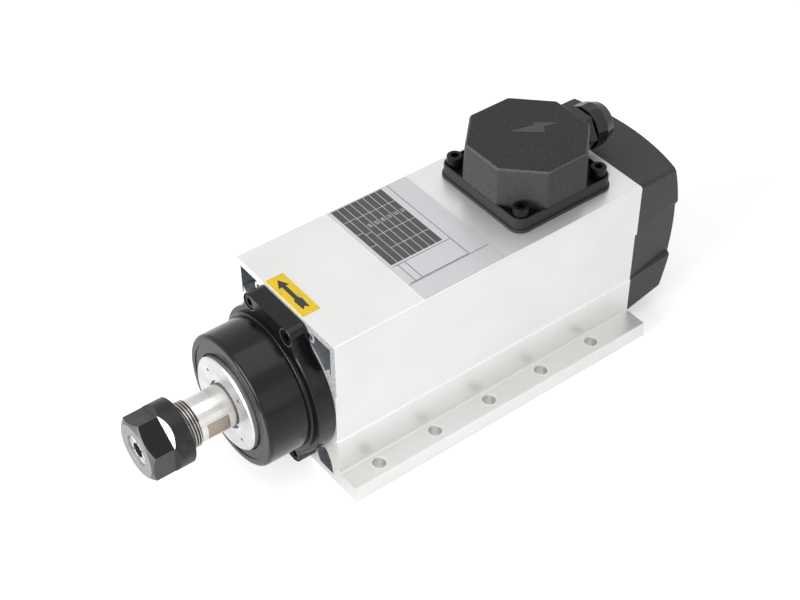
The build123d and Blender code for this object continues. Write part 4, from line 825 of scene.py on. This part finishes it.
def print_table():
    """Dark cells on the foil, split by light lines, all of them left blank."""
    shape = bmesh.new()
    for row in range(ROWS):
        columns = LOW_ROWS[row] if row < len(LOW_ROWS) else TALL_COLUMNS
        front = TABLE_FRONT + row * ROW_HEIGHT
        for left, right in zip(columns, columns[1:]):
            low = (TABLE_LEFT + left * MM + LINE / 2, front + LINE / 2)
            high = (TABLE_LEFT + right * MM - LINE / 2, front + ROW_HEIGHT - LINE / 2)
            add_bar(shape, low, high, PLATE_HIGH[2] - INK, 2 * INK)
    ink = printed_film("dark_ink", (0.075, 0.075, 0.078), roughness=0.35)
    piece_from(shape, "nameplate_table", ink, "motor_body")
    return ink


def print_rules(ink):
    """Thin dark lines that divide the plate's blank fields."""
    header = TABLE_FRONT + ROWS * ROW_HEIGHT + HEADER_HEIGHT
    rules = [
        ((TABLE_LEFT, header), (FIELD_RIGHT, header + LINE)),
        ((FIELD_LEFT, TABLE_FRONT), (FIELD_LEFT + LINE, header)),
        ((FIELD_RIGHT, TABLE_FRONT), (FIELD_RIGHT + LINE, header)),
        ((STRIP_LINE, STRIP_FRONT), (STRIP_LINE + LINE, STRIP_REAR)),
    ]
    for rise in FIELD_RULES:
        front = TABLE_FRONT + rise
        rules.append(((FIELD_LEFT, front), (FIELD_RIGHT, front + LINE)))
    shape = bmesh.new()
    for low, high in rules:
        add_bar(shape, low, high, PLATE_HIGH[2] - INK, 2 * INK)
    piece_from(shape, "nameplate_rules", ink, "motor_body")


def print_numbers():
    """Plain running numbers in the table's second column."""
    light = printed_film("light_ink", (0.72, 0.73, 0.74))
    for row in range(len(LOW_ROWS), ROWS):
        words = bpy.data.curves.new("cell_number", "FONT")
        words.body = str(10 * (ROWS - row))
        words.size = NUMBER_SIZE
        words.align_x = "CENTER"
        words.align_y = "CENTER"
        carrier = bpy.data.objects.new("cell_number", words)
        mesh = bpy.data.meshes.new_from_object(carrier)
        bpy.data.objects.remove(carrier)
        shape = bmesh.new()
        shape.from_mesh(mesh)
        column = TABLE_LEFT + (TALL_COLUMNS[1] + TALL_COLUMNS[2]) / 2 * MM
        front = TABLE_FRONT + (row + 0.5) * ROW_HEIGHT
        bmesh.ops.translate(shape, verts=shape.verts, vec=(column, front, PLATE_HIGH[2] + 2 * INK))
        piece_from(shape, "nameplate_number_%d" % row, light, "motor_body")


# The rotation arrow: places along and beside its middle line, in millimetres
ARROW_MIDDLE_X = -1.5
ARROW_TIP = -12.6
ARROW_NECK = -7.0
ARROW_BARB = (-6.6, 3.1)
ARROW_SHAFT = 1.15
ARROW_FLETCH_FRONT = 3.8
ARROW_FLETCH = (5.0, 2.2)
ARROW_NOTCH = 10.6
ARROW_END = (12.6, 1.9)


def print_arrow():
    """The arrow on the yellow film, which shows the way that the spindle turns."""
    low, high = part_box("arrow_label")
    middle_y = (low[1] + high[1]) / 2
    half = [
        (ARROW_BARB[0], ARROW_BARB[1]),
        (ARROW_NECK, ARROW_SHAFT),
        (ARROW_FLETCH_FRONT, ARROW_SHAFT),
        (ARROW_FLETCH[0], ARROW_FLETCH[1]),
        (ARROW_END[0], ARROW_END[1]),
    ]
    other = [(x, -y) for x, y in reversed(half)]
    outline = [(ARROW_TIP, 0.0)] + half + [(ARROW_NOTCH, 0.0)] + other
    points = [(ARROW_MIDDLE_X * MM + x * MM, middle_y + y * MM) for x, y in outline]
    shape = raised_outline(points, high[2] - INK, 2 * INK)
    ink = printed_film("arrow_ink", (0.018, 0.018, 0.04))
    piece_from(shape, "rotation_arrow", ink, "motor_body")


# The flash moulded on the box lid, from the lid's middle, in millimetres
FLASH = ((-7.4, -6.7), (-3.9, 7.2), (-5.6, 8.8), (3.0, 19.2), (0.3, 10.4), (4.4, 7.6))
RELIEF = 0.12 * MM
RELIEF_SUNK = 0.2 * MM


def mould_flash():
    """The flash stands a little proud of the lid's top."""
    low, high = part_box("terminal_box_lid")
    middle_y = (low[1] + high[1]) / 2
    points = [(x * MM, middle_y + y * MM) for x, y in FLASH]
    shape = raised_outline(points, high[2] - RELIEF_SUNK, RELIEF_SUNK + RELIEF)
    dark = (0.040, 0.039, 0.040)
    light = (0.052, 0.051, 0.052)
    smooth_plastic = moulded_plastic("flash_plastic", dark, light, roughness=0.4, scale=1400.0, depth=0.03)
    piece_from(shape, "lid_flash", smooth_plastic, "motor_body")


# Stage

WORLD_LIGHT = 0.32
FLOOR_SIZE = 12.0
FLOOR_WHITE = 0.9
FLOOR_GLOW = 0.5

# Soft boxes: name, place, size and power in watts. They all point at the target
TARGET = (0.0, 0.0, 0.06)
SOFT_BOXES = (
    ("overhead", (0.0, 0.1, 1.5), (1.2, 1.2), 5.8),
    ("front_left", (0.0, -1.45, 0.45), (1.0, 0.8), 22.5),
    ("right_side", (1.5, 0.1, 0.7), (0.9, 0.9), 2.0),
)


def make_camera():
    """The camera stands and looks as the one that took the photo."""
    camera = bpy.data.objects.new("camera", bpy.data.cameras.new("camera"))
    bpy.context.scene.collection.objects.link(camera)
    turned = Euler((pi / 2 - CAMERA_ELEVATION, 0.0, CAMERA_AZIMUTH)).to_matrix().to_4x4()
    camera.matrix_world = Matrix.Translation(CAMERA_PLACE) @ turned @ Matrix.Rotation(CAMERA_ROLL, 4, "Z")
    camera.data.lens = CAMERA_LENS
    camera.data.sensor_width = SENSOR_WIDTH
    camera.data.clip_start = CAMERA_CLIP
    bpy.context.scene.camera = camera


def seen_directly(tree):
    """1 for camera, mirror and glass rays, 0 for the rest."""
    path = tree.nodes.new("ShaderNodeLightPath")
    total = path.outputs["Is Camera Ray"]
    for name in ("Is Glossy Ray", "Is Transmission Ray"):
        larger = tree.nodes.new("ShaderNodeMath")
        larger.operation = "MAXIMUM"
        tree.links.new(total, larger.inputs[0])
        tree.links.new(path.outputs[name], larger.inputs[1])
        total = larger.outputs["Value"]
    return total


def make_world():
    """A white room that lights the object softly from all round."""
    world = bpy.data.worlds.new("studio")
    bpy.context.scene.world = world
    world.use_nodes = True
    tree = world.node_tree
    background = tree.nodes["Background"]
    background.inputs["Color"].default_value = (1.0, 1.0, 1.0, 1.0)
    spread = tree.nodes.new("ShaderNodeMapRange")
    tree.links.new(seen_directly(tree), spread.inputs["Value"])
    spread.inputs["To Min"].default_value = WORLD_LIGHT
    spread.inputs["To Max"].default_value = 1.0
    tree.links.new(spread.outputs["Result"], background.inputs["Strength"])


def make_floor():
    """A white floor that keeps the object's shadow."""
    shape = bmesh.new()
    bmesh.ops.create_grid(shape, x_segments=1, y_segments=1, size=FLOOR_SIZE / 2)
    mesh = bpy.data.meshes.new("floor")
    shape.to_mesh(mesh)
    shape.free()
    floor = bpy.data.objects.new("floor", mesh)
    bpy.context.scene.collection.objects.link(floor)
    material = bpy.data.materials.new("floor_white")
    material.use_nodes = True
    tree = material.node_tree
    tree.nodes.remove(tree.nodes["Principled BSDF"])
    matt = tree.nodes.new("ShaderNodeBsdfDiffuse")
    matt.inputs["Color"].default_value = (FLOOR_WHITE, FLOOR_WHITE, FLOOR_WHITE, 1.0)
    glow = tree.nodes.new("ShaderNodeEmission")
    tree.links.new(seen_directly(tree), glow.inputs["Strength"])
    glow.inputs["Color"].default_value = (FLOOR_GLOW, FLOOR_GLOW, FLOOR_GLOW, 1.0)
    both = tree.nodes.new("ShaderNodeAddShader")
    tree.links.new(matt.outputs["BSDF"], both.inputs[0])
    tree.links.new(glow.outputs["Emission"], both.inputs[1])
    tree.links.new(both.outputs["Shader"], tree.nodes["Material Output"].inputs["Surface"])
    mesh.materials.append(material)


def make_lamps():
    """Soft boxes overhead, in front and to the right."""
    for name, place, size, power in SOFT_BOXES:
        data = bpy.data.lights.new(name, "AREA")
        data.shape = "RECTANGLE"
        data.size = size[0]
        data.size_y = size[1]
        data.energy = power
        lamp = bpy.data.objects.new(name, data)
        bpy.context.scene.collection.objects.link(lamp)
        lamp.location = place
        lamp.rotation_euler = (Vector(TARGET) - Vector(place)).to_track_quat("-Z", "Y").to_euler()


bpy.context.scene.view_settings.view_transform = "Standard"
finishes = {slot: make(slot, **settings) for slot, (make, settings) in FINISHES.items()}
dress_nodes(finishes)
shaft_with_thread(finishes["shaft_steel"])
dark_ink = print_table()
print_rules(dark_ink)
print_numbers()
print_arrow()
mould_flash()
make_camera()
make_world()
make_floor()
make_lamps()
